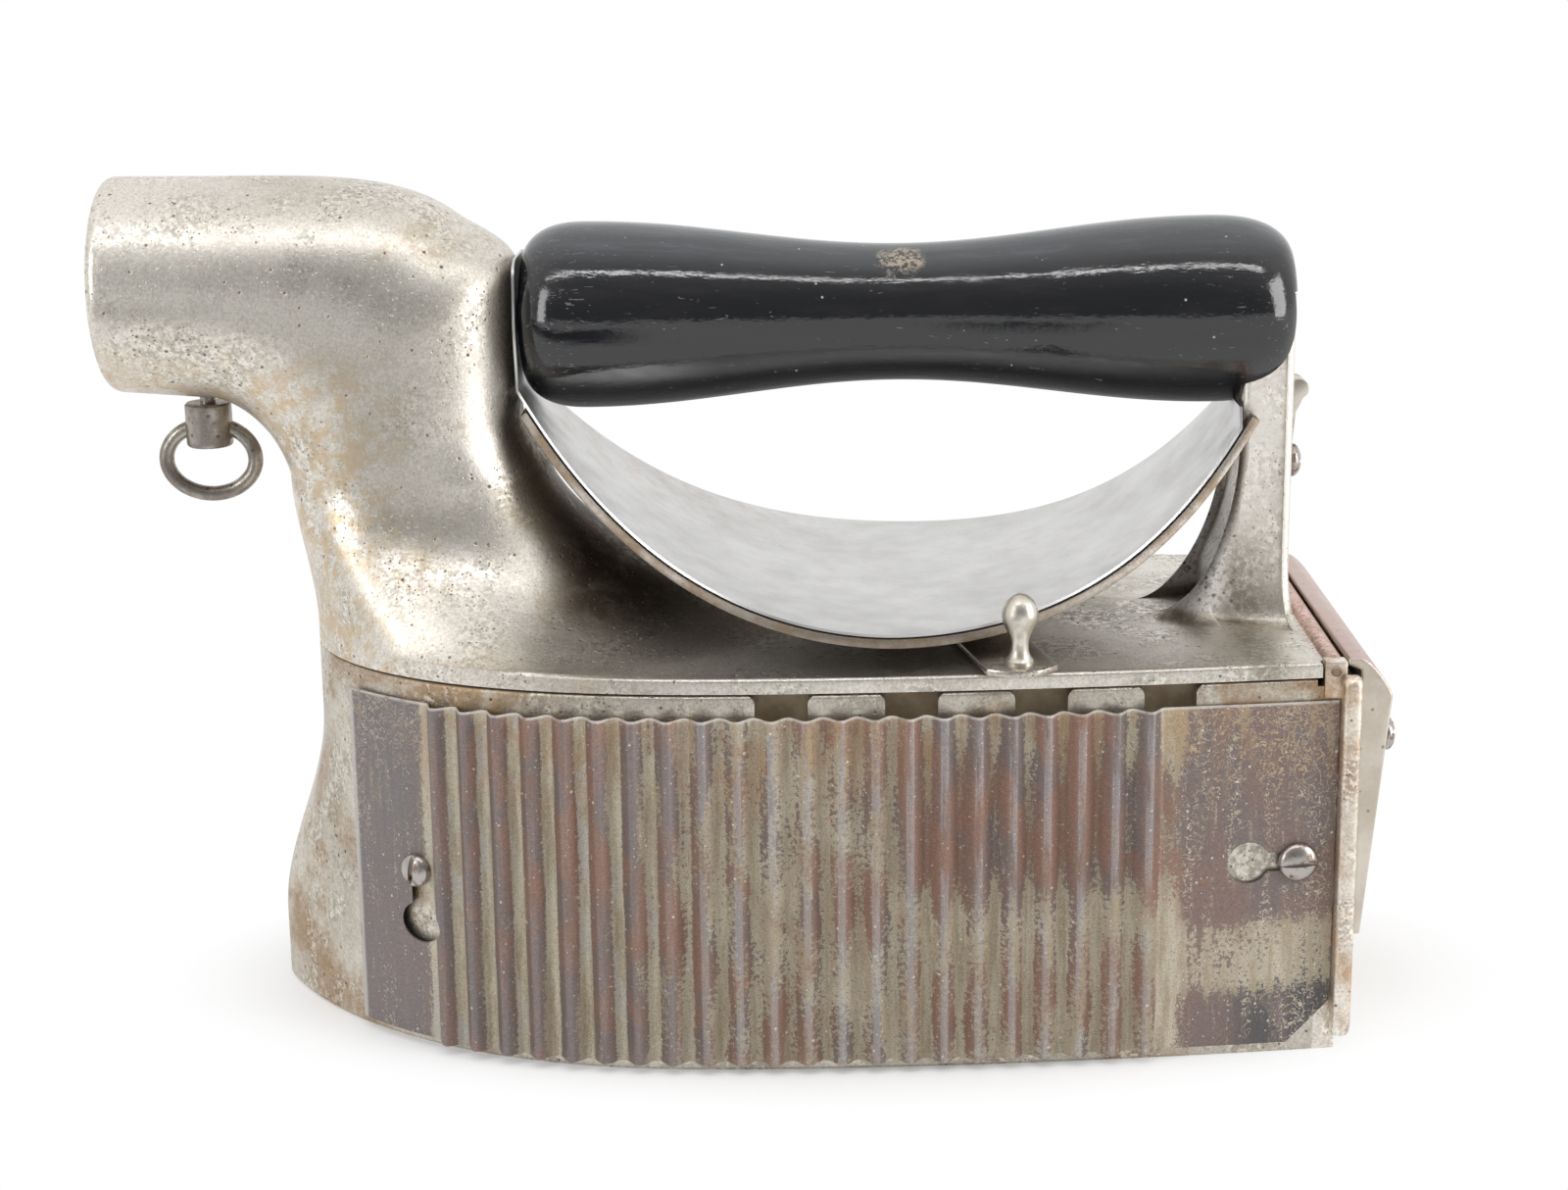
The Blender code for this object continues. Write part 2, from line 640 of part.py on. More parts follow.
def make_side_shields():
    """Corrugated sheets hung on their screws by keyholes, near and far."""
    look = material("oxidised_steel", (0.27, 0.22, 0.18), 0.55, 0.7)
    inner = shield_line(FIT_GAP)
    outer = shield_line(FIT_GAP + SHEET)
    ring = inner + outer[::-1]
    height = SHEET_TOP_Z - SHEET_LOW_Z
    near = outline("near_side_shield", [ring], height, upright(z=SHEET_LOW_Z + height / 2), look=look)
    depth = HALF_BEAM + WAVE_HEIGHT + BEYOND
    middle = SIDE_PLANE.copy()
    middle.translation = (0, -depth / 2, 0)
    tools = []
    x, z = FRONT_SCREW
    hole = (x, z - FRONT_HOLE_DROP)
    shapes = {"front_hole": circle(KEYHOLE_RADIUS, BOSS_STEPS, hole),
              "front_slot": capsule(hole, (x, z), SCREW_SHANK + FIT_GAP)}
    x, z = REAR_SCREW
    hole = (x - REAR_HOLE_SETBACK, z)
    shapes["rear_hole"] = circle(KEYHOLE_RADIUS, BOSS_STEPS, hole)
    shapes["rear_slot"] = capsule(hole, (x, z), SCREW_SHANK + FIT_GAP)
    rear = FLANGE_FRONT_X
    low = SHEET_LOW_Z
    shapes["corner"] = [(rear - SHEET_CORNER, low - BEYOND), (rear + BEYOND, low - BEYOND),
                        (rear + BEYOND, low + SHEET_CORNER + BEYOND),
                        (rear - SHEET_CORNER, low)]
    for name, points in shapes.items():
        tools.append(outline(name, [points], depth, middle, group=CUTTERS))
    cut(near, tools)
    mesh = near.data.copy()
    mesh.transform(Matrix.Diagonal((1, -1, 1, 1)))
    mesh.flip_normals()
    far = add_object("far_side_shield", mesh)
    mesh.materials[0] = look.copy()
    return near, far


def round_head(name, seat_point, normal, head, height, shank, reach, slot_turn):
    """Slotted round-head screw: seat plane at the point, head along the normal."""
    arc = 4
    profile = [(head * math.sin(math.pi / 2 * i / arc), height * math.cos(math.pi / 2 * i / arc))
               for i in range(arc + 1)]
    profile[0] = (0, height)
    profile += [(shank, 0), (shank, -reach), (0, -reach)]
    frame = normal.to_track_quat("Z", "Y").to_matrix().to_4x4()
    place = Matrix.Translation(seat_point) @ frame
    made = turned(name, profile, place, steps=SCREW_STEPS)
    slot = box(name + "_slot", (-head - BEYOND, -SLOT_WIDTH / 2, height - SLOT_DEPTH),
               (head + BEYOND, SLOT_WIDTH / 2, height + BEYOND))
    slot.data.transform(place @ Matrix.Rotation(slot_turn, 4, "Z"))
    return cut(made, [slot])


def slot_turn_for(normal, upward):
    """Turn about the normal that lays the slot upright or level."""
    frame = normal.to_track_quat("Z", "Y").to_matrix()
    wanted = Vector((0, 0, 1)) if upward else Vector((0, 0, 1)).cross(normal)
    local = frame.inverted() @ wanted
    return math.atan2(local.y, local.x)


def make_shield_screws():
    """Four round-head screws in the keyholes."""
    lift = 2 * FIT_GAP + SHEET
    for name, point, normal in shield_screw_places():
        screw = round_head("shield_screw_" + name, point + normal * lift, normal, SCREW_HEAD,
                           SCREW_HEIGHT, SCREW_SHANK, SCREW_REACH + lift,
                           slot_turn_for(normal, "front" in name))
        screw.data.materials.append(material("steel_" + name, (0.3, 0.28, 0.25), 0.4, 0.9))


# ---- hood -------------------------------------------------------------------
def hood_profile(inset):
    """Side outline of the hood: foot, sloping back, round shoulder, top."""
    shoulder_x, shoulder_z = HOOD_SHOULDER
    drop = HOOD_TOP_Z - shoulder_z
    run = shoulder_x - (FLANGE_REAR_X + FIT_GAP)
    points = [(HOOD_FOOT_X - inset, HOOD_FOOT_Z - (BEYOND if inset else 0))]
    arc = 6
    for i in range(arc + 1):
        turn = math.pi / 2 * i / arc
        points.append((shoulder_x - run + (run - inset) * math.cos(turn) ** (2 / HOOD_ROUND),
                       shoulder_z + (drop - inset) * math.sin(turn) ** (2 / HOOD_ROUND)))
    return points


def make_hood():
    """Draught hood behind the rear wall, open at its foot and against the wall."""
    look = material("copper_tinted_iron", (0.42, 0.34, 0.3), 0.5, 0.8)
    front = FLANGE_REAR_X + FIT_GAP
    lip = FLANGE_TOP_Z + FIT_GAP
    ring = hood_profile(0) + [(HOOD_FRONT_X, HOOD_TOP_Z), (HOOD_FRONT_X, HOOD_TOP_Z - HOOD_SHEET),
                              (front, lip), (front, HOOD_FOOT_Z)]
    made = outline("rear_hood", [ring], 2 * HOOD_HALF, SIDE_PLANE, look=look)
    hollow = hood_profile(HOOD_SHEET) + [(front - BEYOND, lip - HOOD_SHEET),
                                         (front - BEYOND, HOOD_FOOT_Z - BEYOND)]
    hollow[-3] = (front, lip - HOOD_SHEET)
    inside = outline("hood_hollow", [hollow], 2 * (HOOD_HALF - HOOD_SHEET), SIDE_PLANE, group=CUTTERS)
    tools = [inside]
    for side in (-1, 1):
        y = side * HOOD_SCREW_Y
        tools.append(rod(f"hood_hole_{side}", (FLANGE_REAR_X, y, HOOD_SCREW_Z),
                         (HOOD_SHOULDER[0] + BEYOND, y, HOOD_SCREW_Z), SCREW_SHANK + FIT_GAP))
    return cut(made, tools)


def hood_back_x(z):
    """Back of the hood at height z."""
    share = (z - HOOD_FOOT_Z) / (HOOD_SHOULDER[1] - HOOD_FOOT_Z)
    return mix(HOOD_FOOT_X, HOOD_SHOULDER[0], share)


def make_hood_screws():
    """Two round-head screws that hold the hood."""
    back = hood_back_x(HOOD_SCREW_Z + SCREW_HEAD) + FIT_GAP
    reach = back - (FLANGE_REAR_X - SCREW_REACH)
    for name, side in (("near", -1), ("far", 1)):
        point = Vector((back, side * HOOD_SCREW_Y, HOOD_SCREW_Z))
        screw = round_head("hood_screw_" + name, point, Vector((1, 0, 0)), SCREW_HEAD,
                           SCREW_HEIGHT, SCREW_SHANK, reach, 0.4)
        screw.data.materials.append(material("hood_steel_" + name, (0.3, 0.28, 0.25), 0.4, 0.9))


def make_pin():
    """Hinge pin across the heel."""
    look = material("steel_pin", (0.28, 0.2, 0.15), 0.5, 0.8)
    return rod("hinge_pin", (HINGE_X, -PIN_END_Y, HINGE_Z), (HINGE_X, PIN_END_Y, HINGE_Z),
               PIN_RADIUS, group=PARTS, look=look, steps=12)


# ---- lid and chimney --------------------------------------------------------
def foot_point(share, wall):
    """Foot of the bell on the lid: flush with the hull at the nose, round behind."""
    nose = UPPER_NOSE_X + wall
    toe = BELL_TOE_X - wall
    x = mix(nose, toe, (1 - math.cos(math.pi * share)) / 2)
    y = half_width(x, nose, UPPER_FULLNESS) - wall * min(1, (x - nose) / CASTING_WALL / 3)
    if x > FLUSH_END_X:
        t = (x - FLUSH_END_X) / (toe - FLUSH_END_X)
        y *= math.sqrt(max(1 - t ** 2, 0))
    return x, max(y, 0)


def edge_point(share, wall):
    """Edge of the lid, the same point as the foot while the bell is flush."""
    x, y = foot_point(share, wall)
    if x <= FLUSH_END_X:
        return x, y
    flush_share = math.acos(1 - 2 * (FLUSH_END_X - UPPER_NOSE_X - wall)
                            / (BELL_TOE_X - UPPER_NOSE_X - 2 * wall)) / math.pi
    rest = (share - flush_share) / (1 - flush_share)
    rear = LID_REAR_X - wall
    corner = 0.62
    if rest <= corner:
        x = mix(FLUSH_END_X, rear, rest / corner)
        return x, upper_half(x) - wall
    width = upper_half(rear) - wall
    return rear, width * (1 - (rest - corner) / (1 - corner))


def column_point(share, wall):
    """Column's oval section at the height of the elbow's centre."""
    front = ELBOW_X + BEND_RADIUS + wall
    rear = COLUMN_REAR_X + COLUMN_FLARE - wall
    turn = math.pi * (1 - share)
    x = (front + rear) / 2 + (rear - front) / 2 * math.cos(turn)
    return x, (COLUMN_HALF - wall) * math.sin(turn)


def lid_ring(z, point_at):
    """Ring at height z from a rule that gives a point for each share of the side."""
    last = SIDE_STEPS
    side = [point_at(i / last) for i in range(last + 1)]
    near = [(x, -y, z) for x, y in side[:-1]] + [(side[-1][0], 0, z)]
    far = [(x, y, z) for x, y in side[1:-1]]
    return near + far[::-1]


def bell_rings(wall, low_z):
    """Rings from the foot of the bell up to the column."""
    rings = []
    for step in range(1, BELL_STEPS + 1):
        rise = (step / BELL_STEPS) ** 1.5
        hollow = rise ** BELL_CURVE
        upright_start = ease(rise)

        def point_at(share, rise=rise, hollow=hollow, upright_start=upright_start):
            fx, fy = foot_point(share, wall)
            cx, cy = column_point(share, wall)
            pull = mix(upright_start, hollow, ease((share - 0.15) / 0.45))
            return mix(fx, cx, pull), mix(fy, cy, pull)

        rings.append(lid_ring(mix(low_z, ELBOW_Z, rise), point_at))
    return rings


def outer_bend(turn):
    """Distance of the outer bend from the elbow's centre at an angle from level."""
    back = COLUMN_REAR_X - ELBOW_X
    top = BEND_RADIUS + 2 * BARREL_RADIUS

    def rounded(angle):
        power = SHOULDER_POWER
        share = (math.cos(angle) / back) ** power + (math.sin(angle) / top) ** power
        return share ** (-1 / power)

    corner = math.radians(SHOULDER_ANGLE)
    if turn <= corner:
        swell = max(1 - math.degrees(turn) / COLUMN_FLARE_ANGLE, 0) ** 2
        return (back + COLUMN_FLARE * swell) / math.cos(turn)
    past = ease((turn - corner) / math.radians(SHOULDER_SPAN))
    return rounded(turn) + (back / math.cos(corner) - rounded(corner)) * (1 - past)


def elbow_rings(wall):
    """Rings that turn from the upright column to the level barrel."""
    rings = []
    count = 2 * SIDE_STEPS
    for degrees in ELBOW_ANGLES:
        turn = math.radians(degrees)
        inner = BEND_RADIUS - BEND_EASE * math.sin(2 * turn) + wall
        outer = outer_bend(turn) - wall
        half = mix(COLUMN_HALF, BARREL_RADIUS, degrees / 90) - wall
        ring = []
        for i in range(count):
            around = math.pi - 2 * math.pi * i / count
            radial = (inner + outer) / 2 + (outer - inner) / 2 * math.cos(around)
            ring.append((ELBOW_X + radial * math.cos(turn), -half * math.sin(around),
                         ELBOW_Z + radial * math.sin(turn)))
        rings.append(ring)
    return rings


def barrel_ring(x, radius, axis_z):
    """Round ring of the barrel, in step with the elbow's rings."""
    count = 2 * SIDE_STEPS
    ring = []
    for i in range(count):
        around = math.pi - 2 * math.pi * i / count
        ring.append((x, -radius * math.sin(around), axis_z + radius * math.cos(around)))
    return ring


def barrel_axis_z(x):
    """Height of the barrel's axis, which rises a little towards the mouth."""
    share = (ELBOW_X - x) / (ELBOW_X - MOUTH_X)
    return ELBOW_Z + BEND_RADIUS + BARREL_RADIUS + MOUTH_RISE * min(max(share, 0), 1)


def mouth_rings():
    """Rings round the lip of the mouth."""
    axis_z = barrel_axis_z(MOUTH_X)
    rings = []
    steps = 3
    for i in range(steps + 1):
        turn = math.pi / 2 * i / steps
        rings.append(barrel_ring(MOUTH_X + MOUTH_ROUND * (1 - math.sin(turn)),
                                 MOUTH_RADIUS - MOUTH_ROUND * (1 - math.cos(turn)), axis_z))
    return rings + [barrel_ring(MOUTH_X, MOUTH_RADIUS - CASTING_WALL, axis_z)]


def post_ring(z):
    """Section of the rear post at height z, with its spreading root."""
    height = max(z - LID_TOP_Z, 0)
    spread = (1 - min(height / POST_ROOT_HEIGHT, 1)) ** 2.6
    side_spread = (1 - min(height / POST_SIDE_HEIGHT, 1)) ** 2
    front = POST_FRONT_X - POST_ROOT_FRONT * spread
    rear = POST_REAR_X + (LID_REAR_X - POST_REAR_X - FIT_GAP) * side_spread
    half = POST_HALF + POST_ROOT_SIDE * side_spread
    corner = 1.2 * MM
    side = [(front, half - corner), (front + corner, half), (rear - corner, half), (rear, half - corner)]
    return [(x, -y, z) for x, y in side] + [(x, y, z) for x, y in side[::-1]]


def make_lid():
    """Lid plate, bell, elbow chimney, rear post and hinge knuckle, cast in one."""
    look = material("nickelled_lid", (0.5, 0.47, 0.42), 0.36, 0.9)
    wall = CASTING_WALL
    outer = [lid_ring(LID_UNDER_Z, lambda share: edge_point(share, 0)),
             lid_ring(LID_UNDER_Z + LID_THICK, lambda share: edge_point(share, 0)),
             lid_ring(LID_TOP_Z, lambda share: foot_point(share, 0))]
    outer += bell_rings(0, LID_TOP_Z)
    outer += elbow_rings(0) + mouth_rings()
    inner = elbow_rings(wall)[::-1]
    inner += bell_rings(wall, LID_UNDER_Z)[::-1]
    inner.append(lid_ring(LID_UNDER_Z, lambda share: foot_point(share, wall)))
    made = loft("lid_casting", outer + inner, look=look, endless=True)

    root = [LID_UNDER_Z + LID_THICK / 2, LID_TOP_Z]
    steps = 7
    root += [LID_TOP_Z + POST_ROOT_HEIGHT * (i / steps) ** 1.8 for i in range(1, steps + 1)]
    post = loft("post", [post_ring(z) for z in root + [HANDLE_Z + TONGUE_RISE]], group=CUTTERS)
    pad = rod("vent_pad", (PIVOT_X, 0, LID_UNDER_Z + LID_THICK / 2), (PIVOT_X, 0, LID_TOP_Z + PAD_RISE),
              PAD_RADIUS, steps=ROUND_STEPS)
    boss = rod("rod_boss", (COLUMN_REAR_X - wall / 2, 0, HANDLE_Z),
               (COLUMN_REAR_X - BOSS_DEPTH, 0, HANDLE_Z), BOSS_RADIUS)
    bridge = box("knuckle_bridge", (LID_REAR_X - 2 * MM, -EAR_INNER_Y + FIT_GAP, LID_UNDER_Z),
                 (HINGE_X, EAR_INNER_Y - FIT_GAP, LID_UNDER_Z + LID_THICK - LID_CROWN))
    knuckle = rod("knuckle", (HINGE_X, -EAR_INNER_Y + FIT_GAP, HINGE_Z),
                  (HINGE_X, EAR_INNER_Y - FIT_GAP, HINGE_Z), KNUCKLE_RADIUS)
    join(made, [post, pad, boss, bridge, knuckle])

    holes = [rod("pin_bore_lid", (HINGE_X, -EAR_INNER_Y - BEYOND, HINGE_Z),
                 (HINGE_X, EAR_INNER_Y + BEYOND, HINGE_Z), PIN_RADIUS + FIT_GAP),
             rod("rod_bore_front", (COLUMN_REAR_X + BEYOND, 0, HANDLE_Z),
                 (COLUMN_REAR_X - BOSS_DEPTH + BOSS_FLOOR, 0, HANDLE_Z), ROD_RADIUS + FIT_GAP),
             rod("rod_bore_rear", (POST_FRONT_X - BEYOND, 0, HANDLE_Z),
                 (POST_FRONT_X + BOSS_DEPTH - BOSS_FLOOR, 0, HANDLE_Z), ROD_RADIUS + FIT_GAP),
             rod("spindle_bore", (DAMPER_X, 0, ELBOW_Z), (DAMPER_X, 0, ELBOW_Z + BEND_RADIUS
                 + BARREL_RADIUS), SPINDLE_RADIUS + FIT_GAP),
             rod("strip_bore", (POST_REAR_X + BEYOND, 0, STRIP_SCREW_Z),
                 (POST_REAR_X - SCREW_REACH - FIT_GAP, 0, STRIP_SCREW_Z), SCREW_SHANK + FIT_GAP),
             rod("pivot_bore", (PIVOT_X, 0, LID_UNDER_Z - BEYOND),
                 (PIVOT_X, 0, LID_TOP_Z + BEYOND), SCREW_SHANK + FIT_GAP)]
    for i, (x, y) in enumerate(vent_centres()):
        holes.append(rod(f"lid_vent_{i}", (x, y, LID_UNDER_Z - BEYOND), (x, y, LID_TOP_Z + BEYOND),
                         VENT_RADIUS))
    return cut(made, holes)


def vent_centres():
    """Centres of the air holes round the lever's pivot."""
    start = math.radians(LEVER_ANGLE - 90 + 180 / VENT_COUNT)
    ring = []
    for i in range(VENT_COUNT):
        turn = start + 2 * math.pi * i / VENT_COUNT
        ring.append((PIVOT_X + VENT_CIRCLE * math.cos(turn), VENT_CIRCLE * math.sin(turn)))
    return ring


# ---- handle -----------------------------------------------------------------
def handle_radius(x):
    """Radius of the grip: two bulges and a waist, rounded off at both ends."""
    middle = (HANDLE_BULGE + HANDLE_WAIST) / 2
    swing = (HANDLE_BULGE - HANDLE_WAIST) / 2
    if x < BULGE_FRONT_X:
        t = (BULGE_FRONT_X - x) / (BULGE_FRONT_X - HANDLE_FRONT_X)
    elif x > BULGE_REAR_X:
        t = (x - BULGE_REAR_X) / (HANDLE_REAR_X - BULGE_REAR_X)
    else:
        phase = 2 * math.pi * (x - BULGE_FRONT_X) / (BULGE_REAR_X - BULGE_FRONT_X)
        return middle + swing * math.cos(phase)
    return HANDLE_FACE + (HANDLE_BULGE - HANDLE_FACE) * math.sqrt(max(1 - t ** 2.6, 0))


def make_handle():
    """Turned grip, bored for its rod and slotted over the post."""
    look = material("black_lacquer", (0.012, 0.012, 0.014), 0.18, 0)
    end_steps = 5
    body_steps = 12
    stations = []
    for i in range(end_steps):
        stations.append(mix(HANDLE_FRONT_X, BULGE_FRONT_X, 1 - math.cos(math.pi / 2 * i / end_steps)))
    for i in range(body_steps + 1):
        stations.append(mix(BULGE_FRONT_X, BULGE_REAR_X, i / body_steps))
    for i in range(1, end_steps + 1):
        stations.append(mix(BULGE_REAR_X, HANDLE_REAR_X, math.sin(math.pi / 2 * i / end_steps)))
    profile = [(handle_radius(x), x) for x in stations]
    profile = [(0, HANDLE_FRONT_X)] + profile + [(0, HANDLE_REAR_X)]
    place = Matrix.Translation((0, 0, HANDLE_Z)) @ Matrix.Rotation(math.radians(90), 4, "Y")
    made = turned("handle_grip", profile[::-1], place, look=look)
    slot = box("post_slot", (POST_FRONT_X - FIT_GAP, -POST_HALF - FIT_GAP, HANDLE_Z - HANDLE_BULGE - BEYOND),
               (HANDLE_REAR_X + BEYOND, POST_HALF + FIT_GAP, HANDLE_Z + TONGUE_RISE + FIT_GAP))
    bore = rod("grip_bore", (HANDLE_FRONT_X - BEYOND, 0, HANDLE_Z), (POST_FRONT_X, 0, HANDLE_Z),
               ROD_RADIUS + FIT_GAP)
    return cut(made, [slot, bore])


def make_handle_rod():
    """Rod through the grip, from the chimney's boss into the post."""
    look = material("steel_rod", (0.35, 0.34, 0.32), 0.4, 0.9)
    return rod("handle_rod", (COLUMN_REAR_X - BOSS_DEPTH + BOSS_FLOOR + FIT_GAP, 0, HANDLE_Z),
               (POST_FRONT_X + BOSS_DEPTH - BOSS_FLOOR - FIT_GAP, 0, HANDLE_Z), ROD_RADIUS,
               group=PARTS, look=look)


# ---- heat shield ------------------------------------------------------------
def shield_half(x):
    """Half width of the heat shield at station x."""
    if x > SHIELD_WIDE_X:
        t = (x - SHIELD_WIDE_X) / (SHIELD_REAR_X - SHIELD_WIDE_X)
        return SHIELD_HALF - (SHIELD_HALF - SHIELD_REAR_HALF) * t ** 1.7
    t = (SHIELD_WIDE_X - x) / (SHIELD_WIDE_X - COLUMN_REAR_X)
    return SHIELD_HALF - (SHIELD_HALF - SHIELD_FRONT_HALF) * t ** 2


def sheet_station(x, lift):
    """Point and half width of the shield at station x, lifted square off its underside."""
    if x < SHIELD_X:
        run, rise, bow = COLUMN_REAR_X - SHIELD_X, SHIELD_FRONT_RISE, SHIELD_FRONT_BOW
    else:
        run, rise, bow = SHIELD_REAR_X - SHIELD_X, SHIELD_REAR_RISE, SHIELD_REAR_BOW
    t = (x - SHIELD_X) / run
    slope = rise * (2 * bow * t + 4 * (1 - bow) * t ** 3) / run
    scale = lift / math.hypot(1, slope)
    z = SHIELD_LOW_Z + rise * (bow * t ** 2 + (1 - bow) * t ** 4)
    return x - slope * scale, z + scale, shield_half(x)


def station_at_x(wanted, lift):
    """Point of the lifted face whose own x is the one wanted."""
    x = wanted
    for _ in range(20):
        x += wanted - sheet_station(x, lift)[0]
    return sheet_station(x, lift)


def ribbon(name, lower, upper, look):
    """Sheet with straight rules across: paired stations of its two faces."""
    rings = []
    for (xa, za, half_a), (xb, zb, half_b) in zip(lower, upper):
        rings.append([(xa, -half_a, za), (xa, half_a, za), (xb, half_b, zb), (xb, -half_b, zb)])
    return loft(name, rings, look=look)


def sheet_stations(front_x, rear_x):
    """Even stations along the shield."""
    count = 24
    return [mix(front_x, rear_x, i / count) for i in range(count + 1)]


def make_heat_shield():
    """Thick curved sheet under the handle and the thin polished liner in it."""
    band = material("brown_sheet", (0.33, 0.28, 0.25), 0.5, 0.8)
    bright = material("polished_sheet", (0.62, 0.64, 0.66), 0.3, 0.9)
    face = COLUMN_REAR_X + FIT_GAP
    stations = sheet_stations(face + 0.8 * MM, SHIELD_REAR_X)
    outer = ribbon("heat_shield_outer", [sheet_station(x, 0) for x in stations],
                   [sheet_station(x, OUTER_THICK) for x in stations], band)
    gap_half = POST_HALF + FIT_GAP
    cut(outer, [box("post_gap", (POST_FRONT_X - FIT_GAP, -gap_half, SHIELD_LOW_Z),
                    (POST_REAR_X + BEYOND, gap_half, HANDLE_Z))])

    low = OUTER_THICK + FIT_GAP
    high = low + LINER_THICK
    rear = POST_FRONT_X - 2 * FIT_GAP
    xs = sheet_stations(face, rear)
    lower = [station_at_x(x, low) for x in xs]
    upper = [station_at_x(face + LINER_THICK, high)] + [station_at_x(x, high) for x in xs[1:]]
    lower = [(x, z, half - LINER_INSET) for x, z, half in lower]
    upper = [(x, z, half - LINER_INSET) for x, z, half in upper]
    tab = [(HANDLE_Z + TAB_RISE, TAB_HALF - 2 * TAB_CORNER),
           (HANDLE_Z + TAB_RISE - TAB_CORNER, TAB_HALF - TAB_CORNER / 2),
           (HANDLE_Z, TAB_HALF), (mix(HANDLE_Z, lower[0][1], 0.6), TAB_HALF + TAB_CORNER)]
    front_low = [(face, z, half) for z, half in tab]
    front_high = [(face + LINER_THICK, z, half) for z, half in tab]
    liner = ribbon("heat_shield_liner", front_low + lower, front_high + upper, bright)
    cut(liner, [rod("tab_hole", (face - BEYOND, 0, HANDLE_Z), (face + BEYOND, 0, HANDLE_Z),
                    ROD_RADIUS + FIT_GAP)])
    return outer, liner


# ---- strip behind the post --------------------------------------------------
def make_post_strip():
    """Springy strip on the back of the post, ending in a round thumb bead."""
    look = material("steel_strip", (0.42, 0.4, 0.36), 0.4, 0.9)
    back = POST_REAR_X + FIT_GAP
    bead_x = back + BEAD_RADIUS
    points = [(back, STRIP_LOW_Z), (back, BEAD_Z - BEAD_RADIUS)]
    arc = 8
    for i in range(arc + 1):
        turn = math.pi - 1.35 * math.pi * i / arc
        points.append((bead_x + BEAD_RADIUS * math.cos(turn), BEAD_Z + BEAD_RADIUS * math.sin(turn)))
    points += [(back + STRIP_THICK + 0.5 * MM, BEAD_Z - 2.4 * BEAD_RADIUS),
               (back + STRIP_THICK, STRIP_SCREW_Z + SCREW_HEAD + 1 * MM),
               (back + STRIP_THICK, STRIP_LOW_Z)]
    made = outline("post_strip", [points], 2 * STRIP_HALF, SIDE_PLANE, look=look)
    hole = rod("strip_hole", (back - BEYOND, 0, STRIP_SCREW_Z), (back + BEYOND, 0, STRIP_SCREW_Z),
               SCREW_SHANK + FIT_GAP)
    cut(made, [hole])
    seat = Vector((back + STRIP_THICK + FIT_GAP, 0, STRIP_SCREW_Z))
    reach = seat.x - POST_REAR_X + SCREW_REACH
    axis = Vector((1, 0, 0))
    screw = round_head("post_strip_screw", seat, axis, SCREW_HEAD, SCREW_HEIGHT, SCREW_SHANK, reach,
                       slot_turn_for(axis, False))
    screw.data.materials.append(material("steel_strip_screw", (0.36, 0.34, 0.3), 0.4, 0.9))
    return made, screw


# ---- damper -----------------------------------------------------------------
def empty_at(name, place):
    """Parent empty on a joint's axis."""
    made = bpy.data.objects.new(name, None)
    PARTS.objects.link(made)
    made.location = place
    return made


def hang_on(parent, children):
    """Parent pieces to an empty without moving them."""
    for child in children:
        child.parent = parent
        child.matrix_parent_inverse = Matrix.Translation(-Vector(parent.location))


def make_damper():
    """Ring key with its spindle, and the flap it turns."""
    look = material("dark_steel", (0.2, 0.18, 0.165), 0.42, 0.9)
    under = ELBOW_Z + BEND_RADIUS - STUB_GAP
    key = rod("damper_key", (DAMPER_X, 0, under - STUB_LENGTH), (DAMPER_X, 0, under), STUB_RADIUS,
              group=PARTS, look=look)
    axis_z = barrel_axis_z(DAMPER_X)
    top = axis_z + FLAP_RADIUS
    spindle = rod("spindle", (DAMPER_X, 0, under - 1 * MM), (DAMPER_X, 0, top), SPINDLE_RADIUS)
    curve = bpy.data.curves.new("ring_path", "CURVE")
    curve.dimensions = "3D"
    curve.bevel_depth = RING_WIRE
    curve.bevel_resolution = 2
    line = curve.splines.new("POLY")
    count = 24
    line.points.add(count - 1)
    for i, point in enumerate(line.points):
        turn = 2 * math.pi * i / count
        point.co = (DAMPER_X + RING_HALF_LENGTH * math.cos(turn), 0,
                    RING_Z + RING_HALF_HEIGHT * math.sin(turn), 1)
    line.use_cyclic_u = True
    drawn = bpy.data.objects.new("ring_curve", curve)
    CUTTERS.objects.link(drawn)
    mesh = evaluated_mesh(drawn)
    bpy.data.objects.remove(drawn, do_unlink=True)
    ring = bake(add_object("ring", mesh, CUTTERS))
    join(key, [spindle, ring])

    flap_look = material("sooty_flap", (0.08, 0.07, 0.065), 0.8, 0.5)
    flap = rod("damper_flap", (DAMPER_X, -FLAP_THICK / 2, axis_z), (DAMPER_X, FLAP_THICK / 2, axis_z),
               FLAP_RADIUS, group=PARTS, look=flap_look, steps=ROUND_STEPS)
    low = axis_z - FLAP_RADIUS * 0.9
    join(flap, [rod("flap_boss", (DAMPER_X, 0, low), (DAMPER_X, 0, 2 * axis_z - low), FLAP_BOSS)])
    cut(flap, [rod("flap_bore", (DAMPER_X, 0, low - BEYOND), (DAMPER_X, 0, top + BEYOND),
                   SPINDLE_RADIUS + FIT_GAP)])
    axis = empty_at("damper_axis", (DAMPER_X, 0, RING_Z))
    hang_on(axis, [key, flap])
    return axis


